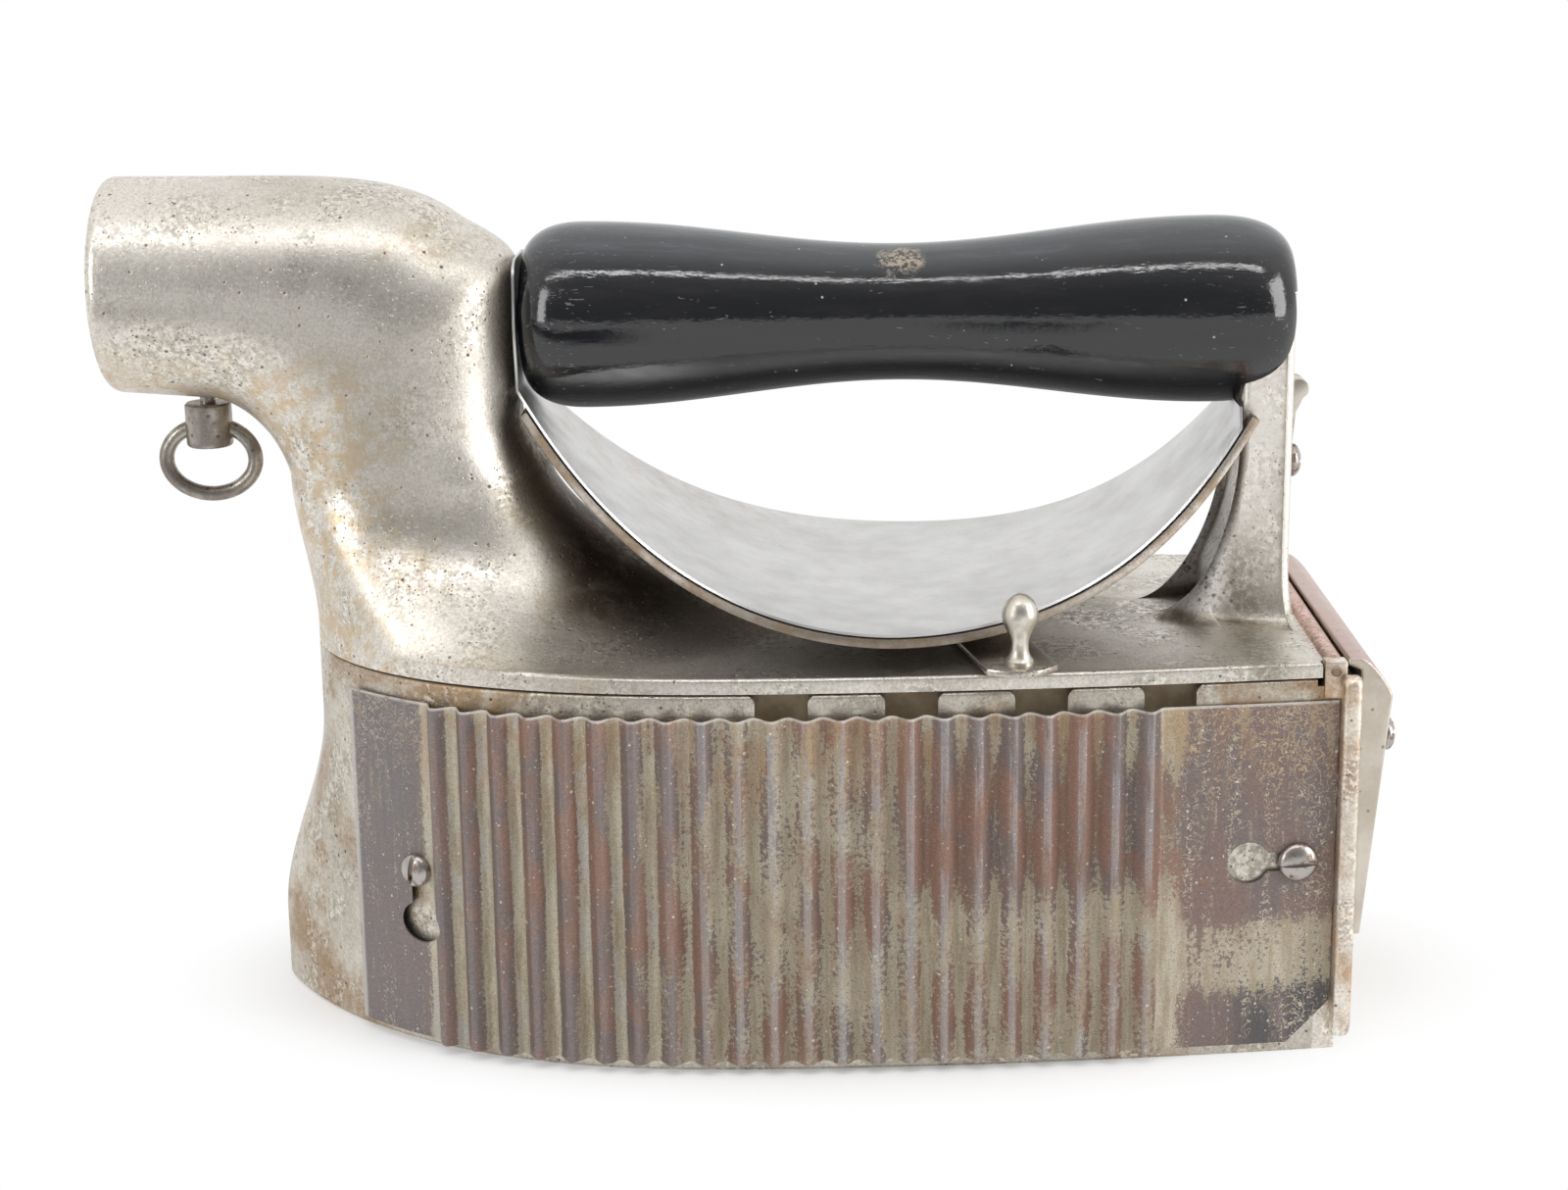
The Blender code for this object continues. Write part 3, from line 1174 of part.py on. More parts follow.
# ---- air lever --------------------------------------------------------------
def make_lever():
    """Flat lever on its pivot screw, with the acorn knob at its end."""
    look = material("nickelled_lever", (0.5, 0.48, 0.43), 0.3, 0.9)
    turn = Matrix.Rotation(math.radians(LEVER_ANGLE - 90), 4, "Z")
    low = LID_TOP_Z + PAD_RISE + FIT_GAP
    place = upright(PIVOT_X, 0, low + LEVER_THICK / 2) @ turn
    hip = math.asin(LEVER_HALF / LEVER_DISC)
    steps = 20
    points = []
    for i in range(steps + 1):
        around = mix(hip, 2 * math.pi - hip, i / steps)
        points.append((LEVER_DISC * math.cos(around), LEVER_DISC * math.sin(around)))
    points += [(LEVER_REACH - LEVER_CLIP, -LEVER_HALF), (LEVER_REACH, -LEVER_HALF / 2),
               (LEVER_REACH, LEVER_HALF / 2), (LEVER_REACH - LEVER_CLIP, LEVER_HALF)]
    lever = outline("air_lever", [points], LEVER_THICK, place, look=look)
    high = low + LEVER_THICK
    knob_place = upright(PIVOT_X, 0, 0) @ turn @ upright(LEVER_REACH - KNOB_INSET, 0, 0)
    knob_x, knob_y = knob_place.translation[:2]
    tools = [rod("lever_pivot_hole", (PIVOT_X, 0, low - BEYOND), (PIVOT_X, 0, high + BEYOND),
                 SCREW_SHANK + FIT_GAP),
             rod("knob_hole", (knob_x, knob_y, low - BEYOND), (knob_x, knob_y, high + BEYOND),
                 KNOB_NECK)]
    for i, (x, y) in enumerate(vent_centres()):
        tools.append(rod(f"lever_vent_{i}", (x, y, low - BEYOND), (x, y, high + BEYOND), VENT_RADIUS))
    cut(lever, tools)

    bright = material("bright_nickel", (0.62, 0.6, 0.54), 0.18, 1)
    spigot = KNOB_NECK - FIT_GAP
    waist_z = 0.28 * KNOB_HEIGHT
    egg_z = mix(waist_z, KNOB_HEIGHT, 0.55)
    profile = [(0, KNOB_HEIGHT)]
    arc = 6
    for i in range(1, arc + 1):
        around = math.pi / 2 * i / arc
        profile.append((KNOB_RADIUS * math.sin(around), egg_z + (KNOB_HEIGHT - egg_z) * math.cos(around)))
    for i in range(1, arc + 1):
        around = i / arc
        profile.append((mix(KNOB_RADIUS, KNOB_NECK, ease(around)), mix(egg_z, waist_z, around)))
    profile += [(KNOB_FOOT, 0), (spigot, 0), (spigot, -LEVER_THICK - FIT_GAP), (0, -LEVER_THICK - FIT_GAP)]
    knob = turned("lever_knob", profile, upright(knob_x, knob_y, high + FIT_GAP), look=bright,
                  steps=BOSS_STEPS)

    seat = Vector((PIVOT_X, 0, high + FIT_GAP))
    screw = round_head("lever_pivot_screw", seat, Vector((0, 0, 1)), PIVOT_HEAD, PIVOT_HEIGHT,
                       SCREW_SHANK, seat.z - LID_UNDER_Z, 0.3)
    screw.data.materials.append(material("steel_pivot", (0.4, 0.38, 0.35), 0.4, 0.9))
    axis = empty_at("lever_axis", (PIVOT_X, 0, high))
    hang_on(axis, [lever, knob])
    return axis, screw


make_base()
make_grate()
make_side_shields()
make_shield_screws()
make_hood()
make_hood_screws()
make_pin()

lid_axis = empty_at("lid_axis", (HINGE_X, 0, HINGE_Z))
lid_pieces = [make_lid(), make_handle(), make_handle_rod(), *make_heat_shield(), *make_post_strip()]
lever_axis, pivot_screw = make_lever()
hang_on(lid_axis, lid_pieces + [pivot_screw, make_damper(), lever_axis])
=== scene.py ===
"""Looks of the chimney iron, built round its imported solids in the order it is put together."""

import math

import bmesh
import bpy
import numpy as np
from mathutils import Matrix, Vector


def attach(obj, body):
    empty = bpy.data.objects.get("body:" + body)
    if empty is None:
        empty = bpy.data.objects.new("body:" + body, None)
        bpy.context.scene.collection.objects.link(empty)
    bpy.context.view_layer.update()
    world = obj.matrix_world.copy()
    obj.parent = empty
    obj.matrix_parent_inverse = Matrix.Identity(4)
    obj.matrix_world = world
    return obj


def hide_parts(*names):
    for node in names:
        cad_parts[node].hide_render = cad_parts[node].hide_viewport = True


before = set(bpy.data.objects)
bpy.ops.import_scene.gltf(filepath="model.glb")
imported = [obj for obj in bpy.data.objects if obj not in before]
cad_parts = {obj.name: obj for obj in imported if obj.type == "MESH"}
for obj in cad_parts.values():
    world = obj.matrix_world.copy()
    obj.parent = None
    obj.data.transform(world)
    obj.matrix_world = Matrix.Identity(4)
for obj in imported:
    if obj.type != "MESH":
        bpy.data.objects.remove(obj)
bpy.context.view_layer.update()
MM = 0.001
GAP = 0.3 * MM  # clearance between neighbouring pieces

# ---- box casting ------------------------------------------------------------
# The real box is one iron casting: a thick sole, thin flared walls, a rim with vent notches
# and a flange across the heel. It was nickel plated, and is now worn, pitted and stained. A
# burnt liner sheet stands close behind the vent notches on each side; its brown is painted lighter
# than the shade behind the notches would leave it, which is painted light.
BEAM_X = -8 * MM
HALF_BEAM = 51.4 * MM
HEEL_RUN = 105 * MM
HEEL_TAPER = 8.2 * MM
HEEL_CURVE = 1.75
UPPER_NOSE_X = -91.4 * MM
UPPER_FULLNESS = (2.4, 2.1)
SOLE_NOSE_X = -101.6 * MM
SOLE_FULLNESS = (2.52, 1.25)
RIM_Z = 72.3 * MM
FLARE_TOP_Z = 58 * MM
FLARE_LOW_Z = 14 * MM
SOLE_EDGE = 0.6 * MM
FLOOR_Z = 12 * MM
WALL = 4 * MM
BOX_REAR_X = 103 * MM
CAVITY_REAR_X = 99.2 * MM
FLANGE_FRONT_X = 101.9 * MM
FLANGE_REAR_X = 105.4 * MM
FLANGE_HALF = 46.4 * MM
FLANGE_LOW_Z = 3 * MM
FLANGE_TOP_Z = 73.4 * MM
HINGE_X = 100.9 * MM
HINGE_Z = 73.9 * MM
KNUCKLE_RADIUS = 2.1 * MM
EAR_INNER_Y = 40 * MM
EAR_OUTER_Y = 43.6 * MM
EAR_Y = 41.5 * MM
EAR_HALF = 1.8 * MM
EAR_LOW_Z = 68.7 * MM
EAR_TOP_Z = 75.7 * MM
SEAT_FRONT_X = 97.6 * MM
SEAT_Z = 71 * MM
PAST_HEEL_X = 110 * MM
INLET_FRONT_X = 94 * MM
INLET_HALF = 18 * MM
INLET_LOW_Z = 16 * MM
INLET_TOP_Z = 30 * MM
NOTCHES_X = np.array([0, 23.5, 47, 70.5]) * MM
NOTCH_HALF = 4.8 * MM
NOTCH_LOW_Z = 64.3 * MM
NOTCH_FOOT_ROUND = 1.2 * MM
NOTCH_TOP_ROUND = 1.7 * MM
FLANGE_FOOT_ROUND = 3.4 * MM
FLANGE_TOP_ROUND = 2 * MM
LINER_FRONT_X = -12 * MM
LINER_REAR_X = 84 * MM
LINER_LOW_Z = 48 * MM
LINER_TOP_Z = 71.6 * MM
LINER_SHEET = 0.8 * MM
LINER_GAP = 0.6 * MM
HULL_POINTS = 110


def mix(a, b, t):
    """Straight blend from a to b."""
    return a + (b - a) * t


def ease(t):
    """Smooth step: three t squared less two t cubed, held between 0 and 1."""
    t = np.clip(t, 0, 1)
    return t * t * (3 - 2 * t)


def half_width(x, nose_x, along, across):
    """Half the hull's width. Ahead of the beam it is the beam times (1 - t^along)^(1/across), with t
    from 0 at the beam to 1 at the nose. Behind it, a taper that grows as a power is taken off."""
    t = np.clip((BEAM_X - x) / (BEAM_X - nose_x), 0, 1)
    ahead = HALF_BEAM * (1 - t ** along) ** (1 / across)
    behind = HALF_BEAM - HEEL_TAPER * np.clip((x - BEAM_X) / HEEL_RUN, 0, None) ** HEEL_CURVE
    return np.where(x < BEAM_X, ahead, behind)


def skin(name, points, endless=False, inner_rows=None):
    """New piece over a grid of points (rows, columns, 3). Every row is a closed ring. Neighbouring rows
    are joined by quads, and the end rows are capped, or joined to each other when endless. Quads
    that start in inner_rows get the second material."""
    rows, columns = points.shape[:2]
    index = np.arange(rows * columns).reshape(rows, columns)
    low = index if endless else index[:-1]
    high = np.roll(index, -1, axis=0) if endless else index[1:]
    quads = np.stack((low, np.roll(low, -1, axis=1), np.roll(high, -1, axis=1), high), axis=-1)
    faces = quads.reshape(-1, 4).tolist()
    if not endless:
        faces += [index[0, ::-1].tolist(), index[-1].tolist()]
    mesh = bpy.data.meshes.new(name)
    mesh.from_pydata(points.reshape(-1, 3).tolist(), [], faces)
    if inner_rows is not None:
        kind = np.zeros(len(faces), dtype=np.int32)
        kind[:len(low) * columns] = np.repeat(inner_rows[:len(low)], columns)
        if not endless:
            kind[-2] = inner_rows[0]
        mesh.polygons.foreach_set("material_index", kind)
    shape = bmesh.new()
    shape.from_mesh(mesh)
    bmesh.ops.remove_doubles(shape, verts=shape.verts, dist=1e-7)
    bmesh.ops.dissolve_degenerate(shape, edges=shape.edges, dist=1e-7)
    bmesh.ops.recalc_face_normals(shape, faces=shape.faces)
    shape.to_mesh(mesh)
    shape.free()
    piece = bpy.data.objects.new(name, mesh)
    bpy.context.scene.collection.objects.link(piece)
    return piece


def settle(piece):
    """Apply a piece's modifiers to its mesh."""
    ready = piece.evaluated_get(bpy.context.evaluated_depsgraph_get())
    mesh = bpy.data.meshes.new_from_object(ready)
    mesh.name = piece.name
    piece.modifiers.clear()
    piece.data = mesh
    return piece


def carve(piece, tools, operation="DIFFERENCE"):
    """Cut tools out of a piece, or weld them to it, and delete them."""
    for tool in tools:
        step = piece.modifiers.new("carve", "BOOLEAN")
        step.object = tool
        step.operation = operation
        step.solver = "MANIFOLD"
        settle(piece)
        bpy.data.objects.remove(tool, do_unlink=True)
    return piece


def soften(piece, width, segments=2):
    """Round a piece's sharp edges."""
    edge = piece.modifiers.new("soften", "BEVEL")
    edge.width = width
    edge.segments = segments
    edge.limit_method = "ANGLE"
    edge.angle_limit = math.radians(50)
    return settle(piece)


def slab(name, outline, low, high, axis):
    """Flat-faced piece: a closed outline carried from low to high along one axis. The outline's two
    numbers are the other two axes in order."""
    points = np.empty((2, len(outline), 3))
    across = [i for i in range(3) if i != axis]
    points[:, :, across] = np.asarray(outline)[None]
    points[:, :, axis] = np.array([[low], [high]])
    return skin(name, points)


def block(name, low, high):
    """Slab with a rectangular outline."""
    outline = [(low[0], low[1]), (high[0], low[1]), (high[0], high[1]), (low[0], high[1])]
    return slab(name, outline, low[2], high[2], 2)


def arc(centre, radius, start, end, count=9):
    """Points on a circle from one angle to another, in degrees."""
    turn = np.radians(np.linspace(start, end, count))
    return [(centre[0] + radius * c, centre[1] + radius * s) for c, s in zip(np.cos(turn), np.sin(turn))]


def lathe(name, profile, place, columns=48):
    """Turned piece: a profile of (radius, height) goes once round its own upright axis, then is placed."""
    profile = np.asarray(profile, dtype=float)
    turn = 2 * np.pi * np.arange(columns) / columns
    radius = profile[:, :1]
    height = np.broadcast_to(profile[:, 1:], (len(profile), columns))
    points = np.stack((radius * np.cos(turn), radius * np.sin(turn), height), axis=-1)
    rotation = np.array(place.to_3x3())
    return skin(name, points @ rotation.T + np.array(place.translation))


def rod(name, radius, ends, place, columns=32):
    """Plain cylinder between two heights on its own upright axis."""
    low, high = ends
    return lathe(name, [(0, high), (radius, high), (radius, low), (0, low)], place, columns)


def coat(piece, *looks, crease=38):
    """Give a piece its materials, shaded smooth up to the crease angle."""
    piece.data.materials.clear()
    for look in looks:
        piece.data.materials.append(look)
    piece.data.shade_smooth()
    piece.data.set_sharp_from_angle(angle=math.radians(crease))
    return piece


def put(source, kind, inputs=None, **settings):
    """Add a shader node to the tree of a node or socket; inputs maps sockets to values or to outputs."""
    tree = source.id_data
    made = tree.nodes.new("ShaderNode" + kind)
    for key, value in settings.items():
        setattr(made, key, value)
    for key, value in (inputs or {}).items():
        if isinstance(value, bpy.types.NodeSocket):
            tree.links.new(value, made.inputs[key])
        else:
            made.inputs[key].default_value = value
    return made


def feed(shader, **outputs):
    """Link outputs to a shader's sockets."""
    for key, output in outputs.items():
        shader.id_data.links.new(output, shader.inputs[key.replace("_", " ")])


def new_look(name, metallic, roughness, **sockets):
    """Principled material; returns it with its shader."""
    look = bpy.data.materials.new(name)
    look.use_nodes = True
    shader = look.node_tree.nodes["Principled BSDF"]
    for key, value in {"Metallic": metallic, "Roughness": roughness, **sockets}.items():
        shader.inputs[key].default_value = value
    return look, shader


def where(source, stretch=(1, 1, 1), shift=(0, 0, 0)):
    """Object coordinates in millimetres, stretched and shifted."""
    place = put(source, "TexCoord").outputs["Object"]
    return mapped(place, [1000 * s for s in stretch], shift)


def mapped(vector, scale, shift):
    """A vector scaled, then shifted."""
    return put(vector, "Mapping", {"Vector": vector, "Scale": scale, "Location": shift}).outputs["Vector"]


def axes(source, coordinates="Object"):
    """Object coordinates in metres, or other coordinates of the same node, as three numbers."""
    return put(source, "SeparateXYZ", {0: put(source, "TexCoord").outputs[coordinates]}).outputs


def upward(source):
    """How far the surface faces up: the Z of its normal."""
    return put(source, "SeparateXYZ", {0: put(source, "NewGeometry").outputs["Normal"]}).outputs["Z"]


def grain(place, size, detail=4, roughness=0.55, distortion=0):
    """Noise whose features are about size millimetres across."""
    return put(place, "TexNoise", {"Vector": place, "Scale": 1 / size, "Detail": detail,
                                   "Roughness": roughness, "Distortion": distortion}).outputs["Fac"]


def ramp(value, low, high, start=0, end=1):
    """Smooth step of a value from low to high, giving start to end."""
    return put(value, "MapRange", {"Value": value, "From Min": low, "From Max": high, "To Min": start,
                                   "To Max": end}, interpolation_type="SMOOTHSTEP").outputs["Result"]


def first_socket(*values):
    """The first of the values that is a socket."""
    return next(value for value in values if isinstance(value, bpy.types.NodeSocket))


def reckon(operation, first, *others):
    """A value taken through one operation with each of the others in turn."""
    for other in others:
        source = first_socket(first, other)
        first = put(source, "Math", {0: first, 1: other}, operation=operation).outputs[0]
    return first


def product(*values):
    """All values multiplied."""
    return reckon("MULTIPLY", *values)


def total(*values):
    """All values added."""
    return reckon("ADD", *values)


def most(*values):
    """The greatest of the values."""
    return reckon("MAXIMUM", *values)


def between(share, a, b):
    """Number between a and b."""
    return put(share, "Mix", {0: share, 2: a, 3: b}, data_type="FLOAT").outputs[0]


def blend(share, a, b):
    """Colour between a and b."""
    colours = [(*c, 1) if isinstance(c, tuple) else c for c in (a, b)]
    return put(share, "Mix", {0: share, 6: colours[0], 7: colours[1]}, data_type="RGBA").outputs[2]


def brightened(colour, factor):
    """Colour times a factor."""
    return put(colour, "VectorMath", {0: colour, "Scale": factor}, operation="SCALE").outputs[0]


def spots(place, spacing, radius, share):
    """Round spots in a share of the cells of a scattered pattern, 1 inside a spot."""
    cells = put(place, "TexVoronoi", {"Vector": place, "Scale": 1 / spacing})
    near = ramp(cells.outputs["Distance"], radius / spacing * 0.6, radius / spacing * 1.2, 1, 0)
    lucky = put(place, "SeparateColor", {0: cells.outputs["Color"]}).outputs[0]
    return product(near, ramp(lucky, 1 - share, 1.01 - share))


def relief(shader, height, depth, strength=1.0, base=None):
    """Bump of a height pattern; depth is in millimetres."""
    inputs = {"Height": height, "Distance": depth * MM, "Strength": strength}
    if base is not None:
        inputs["Normal"] = base
    bump = put(shader, "Bump", inputs).outputs["Normal"]
    feed(shader, Normal=bump)
    return bump


def cloudy(name, metallic, roughness, clouds, limits, tones, gloss=None, bump=None, shift=(0, 0, 0)):
    """Plain worn material: the noise named by clouds, taken between its limits, blends one tone into the
    other and, where gloss is given, one roughness into the other. Bump holds a noise, a depth and a
    strength. Returns the material, its shader, its colour and the noise's coordinates."""
    look, shader = new_look(name, metallic, roughness)
    place = where(shader, shift=shift)
    cloud = ramp(grain(place, *clouds), *limits)
    tone = blend(cloud, *tones)
    feed(shader, Base_Color=tone)
    if gloss:
        feed(shader, Roughness=ramp(cloud, 0, 1, *gloss))
    if bump:
        relief(shader, grain(place, *bump[0]), *bump[1:])
    return look, shader, tone, place


def nickelled_iron(name, shift, silver, shade, stain, stain_share, pit_share, gloss, heel_tint_and_light=(1, 1, 1)):
    """Worn nickel on cast iron: silver and shade cloud into each other, golden stain lies in patches,
    bright plating survives in crumbly flakes, and dark pits and specks are scattered over it. Behind the
    lid plate's heel edge the colour is multiplied by a factor: on the box it is painted light that brightens
    the heel, on the lid it darkens the colour towards red. Returns the material, its shader and colour."""
    look, shader = new_look(name, 1.0, gloss)
    place = where(shader, shift=shift)
    clouds = ramp(grain(place, 26, 6, 0.62), 0.34, 0.64)
    metal = blend(clouds, silver, shade)
    patches = grain(place, 30, 8, 0.7, 0.4)
    stained = ramp(patches, 0.62 - stain_share * 0.3, 0.76 - stain_share * 0.25)
    metal = blend(stained, metal, stain)
    sore = ramp(grain(place, 13, 4, 0.6), 0.42, 0.62)
    speckle = grain(place, 0.55, 3, 0.75)
    crumbs = grain(place, 1.25, 5, 0.72)
    flakes = product(ramp(crumbs, 0.5, 0.56), ramp(sore, 0.2, 0.9))
    metal = blend(product(flakes, 0.6), metal, tuple(min(1, c * 1.2) for c in silver))
    dull = product(ramp(crumbs, 0.5, 0.4), total(0.1, product(sore, 0.36)))
    metal = blend(dull, metal, tuple(c * 0.55 for c in shade))
    metal = brightened(metal, ramp(speckle, 0.35, 0.65, 0.84, 1.1))
    pits = spots(place, 2.6, 0.36, pit_share)
    dust = product(spots(place, 1.0, 0.2, pit_share * 1.5), ramp(sore, 0, 1, 0.3, 1))
    dark = most(pits, dust)
    metal = blend(product(dark, 0.78), metal, (0.15, 0.112, 0.08))
    tint = blend(ramp(axes(shader)["X"], 0.0986, 0.0992), (1, 1, 1), heel_tint_and_light)
    metal = put(shader, "VectorMath", {0: metal, 1: tint}, operation="MULTIPLY").outputs[0]
    feed(shader, Base_Color=metal)
    rough = total(ramp(clouds, 0, 1, gloss, gloss + 0.08), product(dark, 0.3),
                  product(stained, 0.08), product(flakes, -0.12), product(dull, 0.1))
    feed(shader, Roughness=rough)
    rough_skin = total(product(crumbs, 0.5), product(speckle, 0.45), product(dark, -1.0))
    swell = relief(shader, grain(place, 16, 3), 0.6, 0.3)
    relief(shader, rough_skin, 0.11, 0.7, swell)
    return look, shader, metal


SIDE_TURN = np.pi / 2 * np.arange(HULL_POINTS + 1) / HULL_POINTS


def hull_rings(z, nose_x, rear_x, along, across, inset, soft=False):
    """Rings round the hull, one for each height. Stations run from nose to heel as one less a cosine, each
    with the hull's half width shrunk by the inset's share of the beam. The near side comes first."""
    z, nose_x, rear_x, along, across, inset = [
        np.broadcast_to(np.asarray(v, dtype=float), (len(z),))[:, None]
        for v in (z, nose_x, rear_x, along, across, inset)]
    x = nose_x + (rear_x - nose_x) * (1 - np.cos(SIDE_TURN))
    narrowing = WALL * np.clip((x - nose_x) / (3 * WALL), 0, 1) if soft else 0
    y = np.maximum(half_width(x, nose_x, along, across) * (1 - inset / HALF_BEAM) - narrowing, 0)
    x = x + inset * (rear_x - x) / (rear_x - nose_x)
    z = np.broadcast_to(z, x.shape)
    near = np.stack((x, -y, z), axis=-1)
    far = np.stack((x, y, z), axis=-1)[:, :0:-1]
    return np.concatenate((near, far), axis=1)


FLOOR_FILLET = 4 * MM
RIM_ROUND = 0.8 * MM
corner = np.linspace(0, np.pi / 2, 6)
inside_z = np.concatenate((FLOOR_Z + FLOOR_FILLET * (1 - np.cos(corner)),
                           np.linspace(FLOOR_Z + FLOOR_FILLET, RIM_Z - RIM_ROUND, 6)[1:],
                           RIM_Z - RIM_ROUND * (1 - np.sin(corner[1:]))))
inside_inset = np.concatenate((FLOOR_FILLET * (1 - np.sin(corner)), np.zeros(5),
                               -RIM_ROUND * (1 - np.cos(corner[1:]))))
inside = hull_rings(inside_z, UPPER_NOSE_X + WALL, CAVITY_REAR_X, *UPPER_FULLNESS, inside_inset, soft=True)
outside_z = np.concatenate((RIM_Z - RIM_ROUND * (1 - np.cos(corner)),
                            np.linspace(RIM_Z - RIM_ROUND, SOLE_EDGE, 60)[1:], [0]))
outside_inset = np.concatenate((RIM_ROUND * (1 - np.sin(corner)), np.zeros(59), [SOLE_EDGE]))
flare = ease((FLARE_TOP_Z - outside_z) / (FLARE_TOP_Z - FLARE_LOW_Z))
fullness = [mix(upper, sole, flare) for upper, sole in zip(UPPER_FULLNESS, SOLE_FULLNESS)]
outside = hull_rings(outside_z, mix(UPPER_NOSE_X, SOLE_NOSE_X, flare), BOX_REAR_X, *fullness, outside_inset)
base = skin("base_walls", np.concatenate((inside, outside)), inner_rows=np.arange(200) < len(inside_z) - 3)
flange_outline = [
    point for side, low, start in ((-1, True, 180), (1, True, 270), (1, False, 0), (-1, False, 90))
    for radius, z in [(FLANGE_FOOT_ROUND, FLANGE_LOW_Z + FLANGE_FOOT_ROUND) if low
                      else (FLANGE_TOP_ROUND, FLANGE_TOP_Z - FLANGE_TOP_ROUND)]
    for point in arc((side * (FLANGE_HALF - radius), z), radius, start, start + 90)]
flange = soften(slab("flange", flange_outline, FLANGE_FRONT_X, FLANGE_REAR_X, 0), 1.1 * MM, 3)
carve(base, [flange], "UNION")
tools = [block("seat", (SEAT_FRONT_X, -EAR_OUTER_Y - GAP, SEAT_Z),
               (PAST_HEEL_X, EAR_OUTER_Y + GAP, RIM_Z + 8 * MM)),
         block("inlet", (INLET_FRONT_X, -INLET_HALF, INLET_LOW_Z), (PAST_HEEL_X, INLET_HALF, INLET_TOP_Z))]
for notch_x in NOTCHES_X:
    foot, top = NOTCH_FOOT_ROUND, NOTCH_TOP_ROUND
    outline = (arc((NOTCH_HALF - foot, NOTCH_LOW_Z + foot), foot, -90, 0, 6)
               + arc((NOTCH_HALF + top, RIM_Z - top), top, 180, 90, 8) + [(NOTCH_HALF + top, RIM_Z + 5 * MM)])
    outline = np.array(outline + [(-x, z) for x, z in outline[::-1]]) + np.array([notch_x, 0])
    tools.append(slab("notch", outline, -60 * MM, 60 * MM, 1))
carve(base, tools)
carve(base, [soften(block("ear", (HINGE_X - KNUCKLE_RADIUS, side * EAR_Y - EAR_HALF, EAR_LOW_Z),
                          (HINGE_X + KNUCKLE_RADIUS, side * EAR_Y + EAR_HALF, EAR_TOP_Z)), 0.4 * MM)
             for side in (-1, 1)], "UNION")

# On the box the heel factor is painted light: it brightens the rear wall and flange.
base_look = nickelled_iron("base_nickel", (11, 4, 2), (0.67, 0.625, 0.55), (0.50, 0.46, 0.395),
                           (0.40, 0.285, 0.18), 0.5, 0.4, 0.4, (1.4, 1.4, 1.44))[0]
inside_look = cloudy("box_inside", 0.6, 0.75, (6, 6, 0.65), (0.35, 0.65), ((0.10, 0.075, 0.045), (0.2, 0.155, 0.1)),
                     bump=((1.5, 5, 0.7), 0.3, 0.6))[0]
coat(base, base_look, inside_look)
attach(base, "box")
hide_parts("base_casting")

liner_x = np.linspace(LINER_FRONT_X, LINER_REAR_X, 49)
liner_y = half_width(liner_x, UPPER_NOSE_X, *UPPER_FULLNESS) - WALL - LINER_GAP
liner_line = np.concatenate((np.column_stack((liner_x, liner_y)),
                             np.column_stack((liner_x, liner_y - LINER_SHEET))[::-1]))
# Painted light: the liner's browns are raised so that the shaded sheet shows lit through the notches.
liner_look = cloudy("burnt_liner_painted_lighter", 0.3, 0.65, (5, 5, 0.65), (0.35, 0.65),
                    ((0.40, 0.33, 0.23), (0.29, 0.22, 0.145)), bump=((1.1, 5, 0.7), 0.2, 0.6))[0]
for name, side in (("near_liner_sheet", -1), ("far_liner_sheet", 1)):
    sheet = slab(name, liner_line * (1, side), LINER_LOW_Z, LINER_TOP_Z, 2)
    coat(sheet, liner_look)
    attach(sheet, "box")

# ---- fire grate -------------------------------------------------------------
# A slotted cast plate on four legs that carries the charcoal. It is never plated: raw iron under
# soot and fine ash.
soot_look = cloudy("sooty_iron", 0.35, 0.85, (5, 6, 0.7), (0.48, 0.7),
                   ((0.028, 0.026, 0.025), (0.14, 0.125, 0.11)), bump=((1.2, 5, 0.7), 0.3, 0.7))[0]
coat(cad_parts["fire_grate"], soot_look)

# ---- side shields -----------------------------------------------------------
# Corrugated steel sheets, one on each side, hung on two screws by keyholes. They have lost most of
# their plating: olive remnants in the grooves, purple-brown oxide between, grey where rubbed. A thin
# grey line along each crest is partly rubbed metal and partly a painted highlight.
SHEET = 0.6 * MM
SHEET_GAP = 0.3 * MM
SHEET_LOW_Z = 2.2 * MM
SHEET_TOP_Z = 68.4 * MM
SHEET_FRONT_X = -81.2 * MM
SHEET_REAR_X = 101.6 * MM
SHEET_CORNER = 8 * MM
WAVE_START_X = -65.5 * MM
WAVE_END_X = 69.5 * MM
WAVE_PITCH = 6.1 * MM
WAVE_HEIGHT = 2.6 * MM
SCREW_HEAD = 3.2 * MM
FRONT_SCREW = (-68.3 * MM, 35.6 * MM)
REAR_SCREW = (94.6 * MM, 38 * MM)
FRONT_HOLE = (-68.3 * MM, 25.1 * MM)
REAR_HOLE = (85.6 * MM, 38 * MM)
HOLE_RADIUS = 4 * MM
SLOT_HALF = 1.8 * MM


def wall_half(x):
    """Half width of the walls where they stand out most: the greatest over nine blends of the rim's
    outline into the sole's."""
    share = np.arange(9)[:, None] / 8
    fullness = [mix(upper, sole, share) for upper, sole in zip(UPPER_FULLNESS, SOLE_FULLNESS)]
    return half_width(x[None], mix(UPPER_NOSE_X, SOLE_NOSE_X, share), *fullness).max(axis=0)


wall_x = np.linspace(SHEET_FRONT_X, SHEET_REAR_X, 1461)
wall_y = wall_half(wall_x)
wall_run = np.concatenate(([0], np.cumsum(np.hypot(np.diff(wall_x), np.diff(wall_y)))))
slope = np.gradient(wall_y, wall_x)
wall_normal = np.stack((-slope, np.ones_like(slope)), axis=-1) / np.hypot(1, slope)[:, None]
wave_start, wave_end = np.interp([WAVE_START_X, WAVE_END_X], wall_x, wall_run)
wave_count = round((wave_end - wave_start) / WAVE_PITCH)


def wave(run):
    """Height of the corrugation after a run along the wall: half of one less a cosine, none outside."""
    share = np.clip((run - wave_start) / (wave_end - wave_start), 0, 1)
    return (1 - np.cos(2 * np.pi * wave_count * share)) / 2


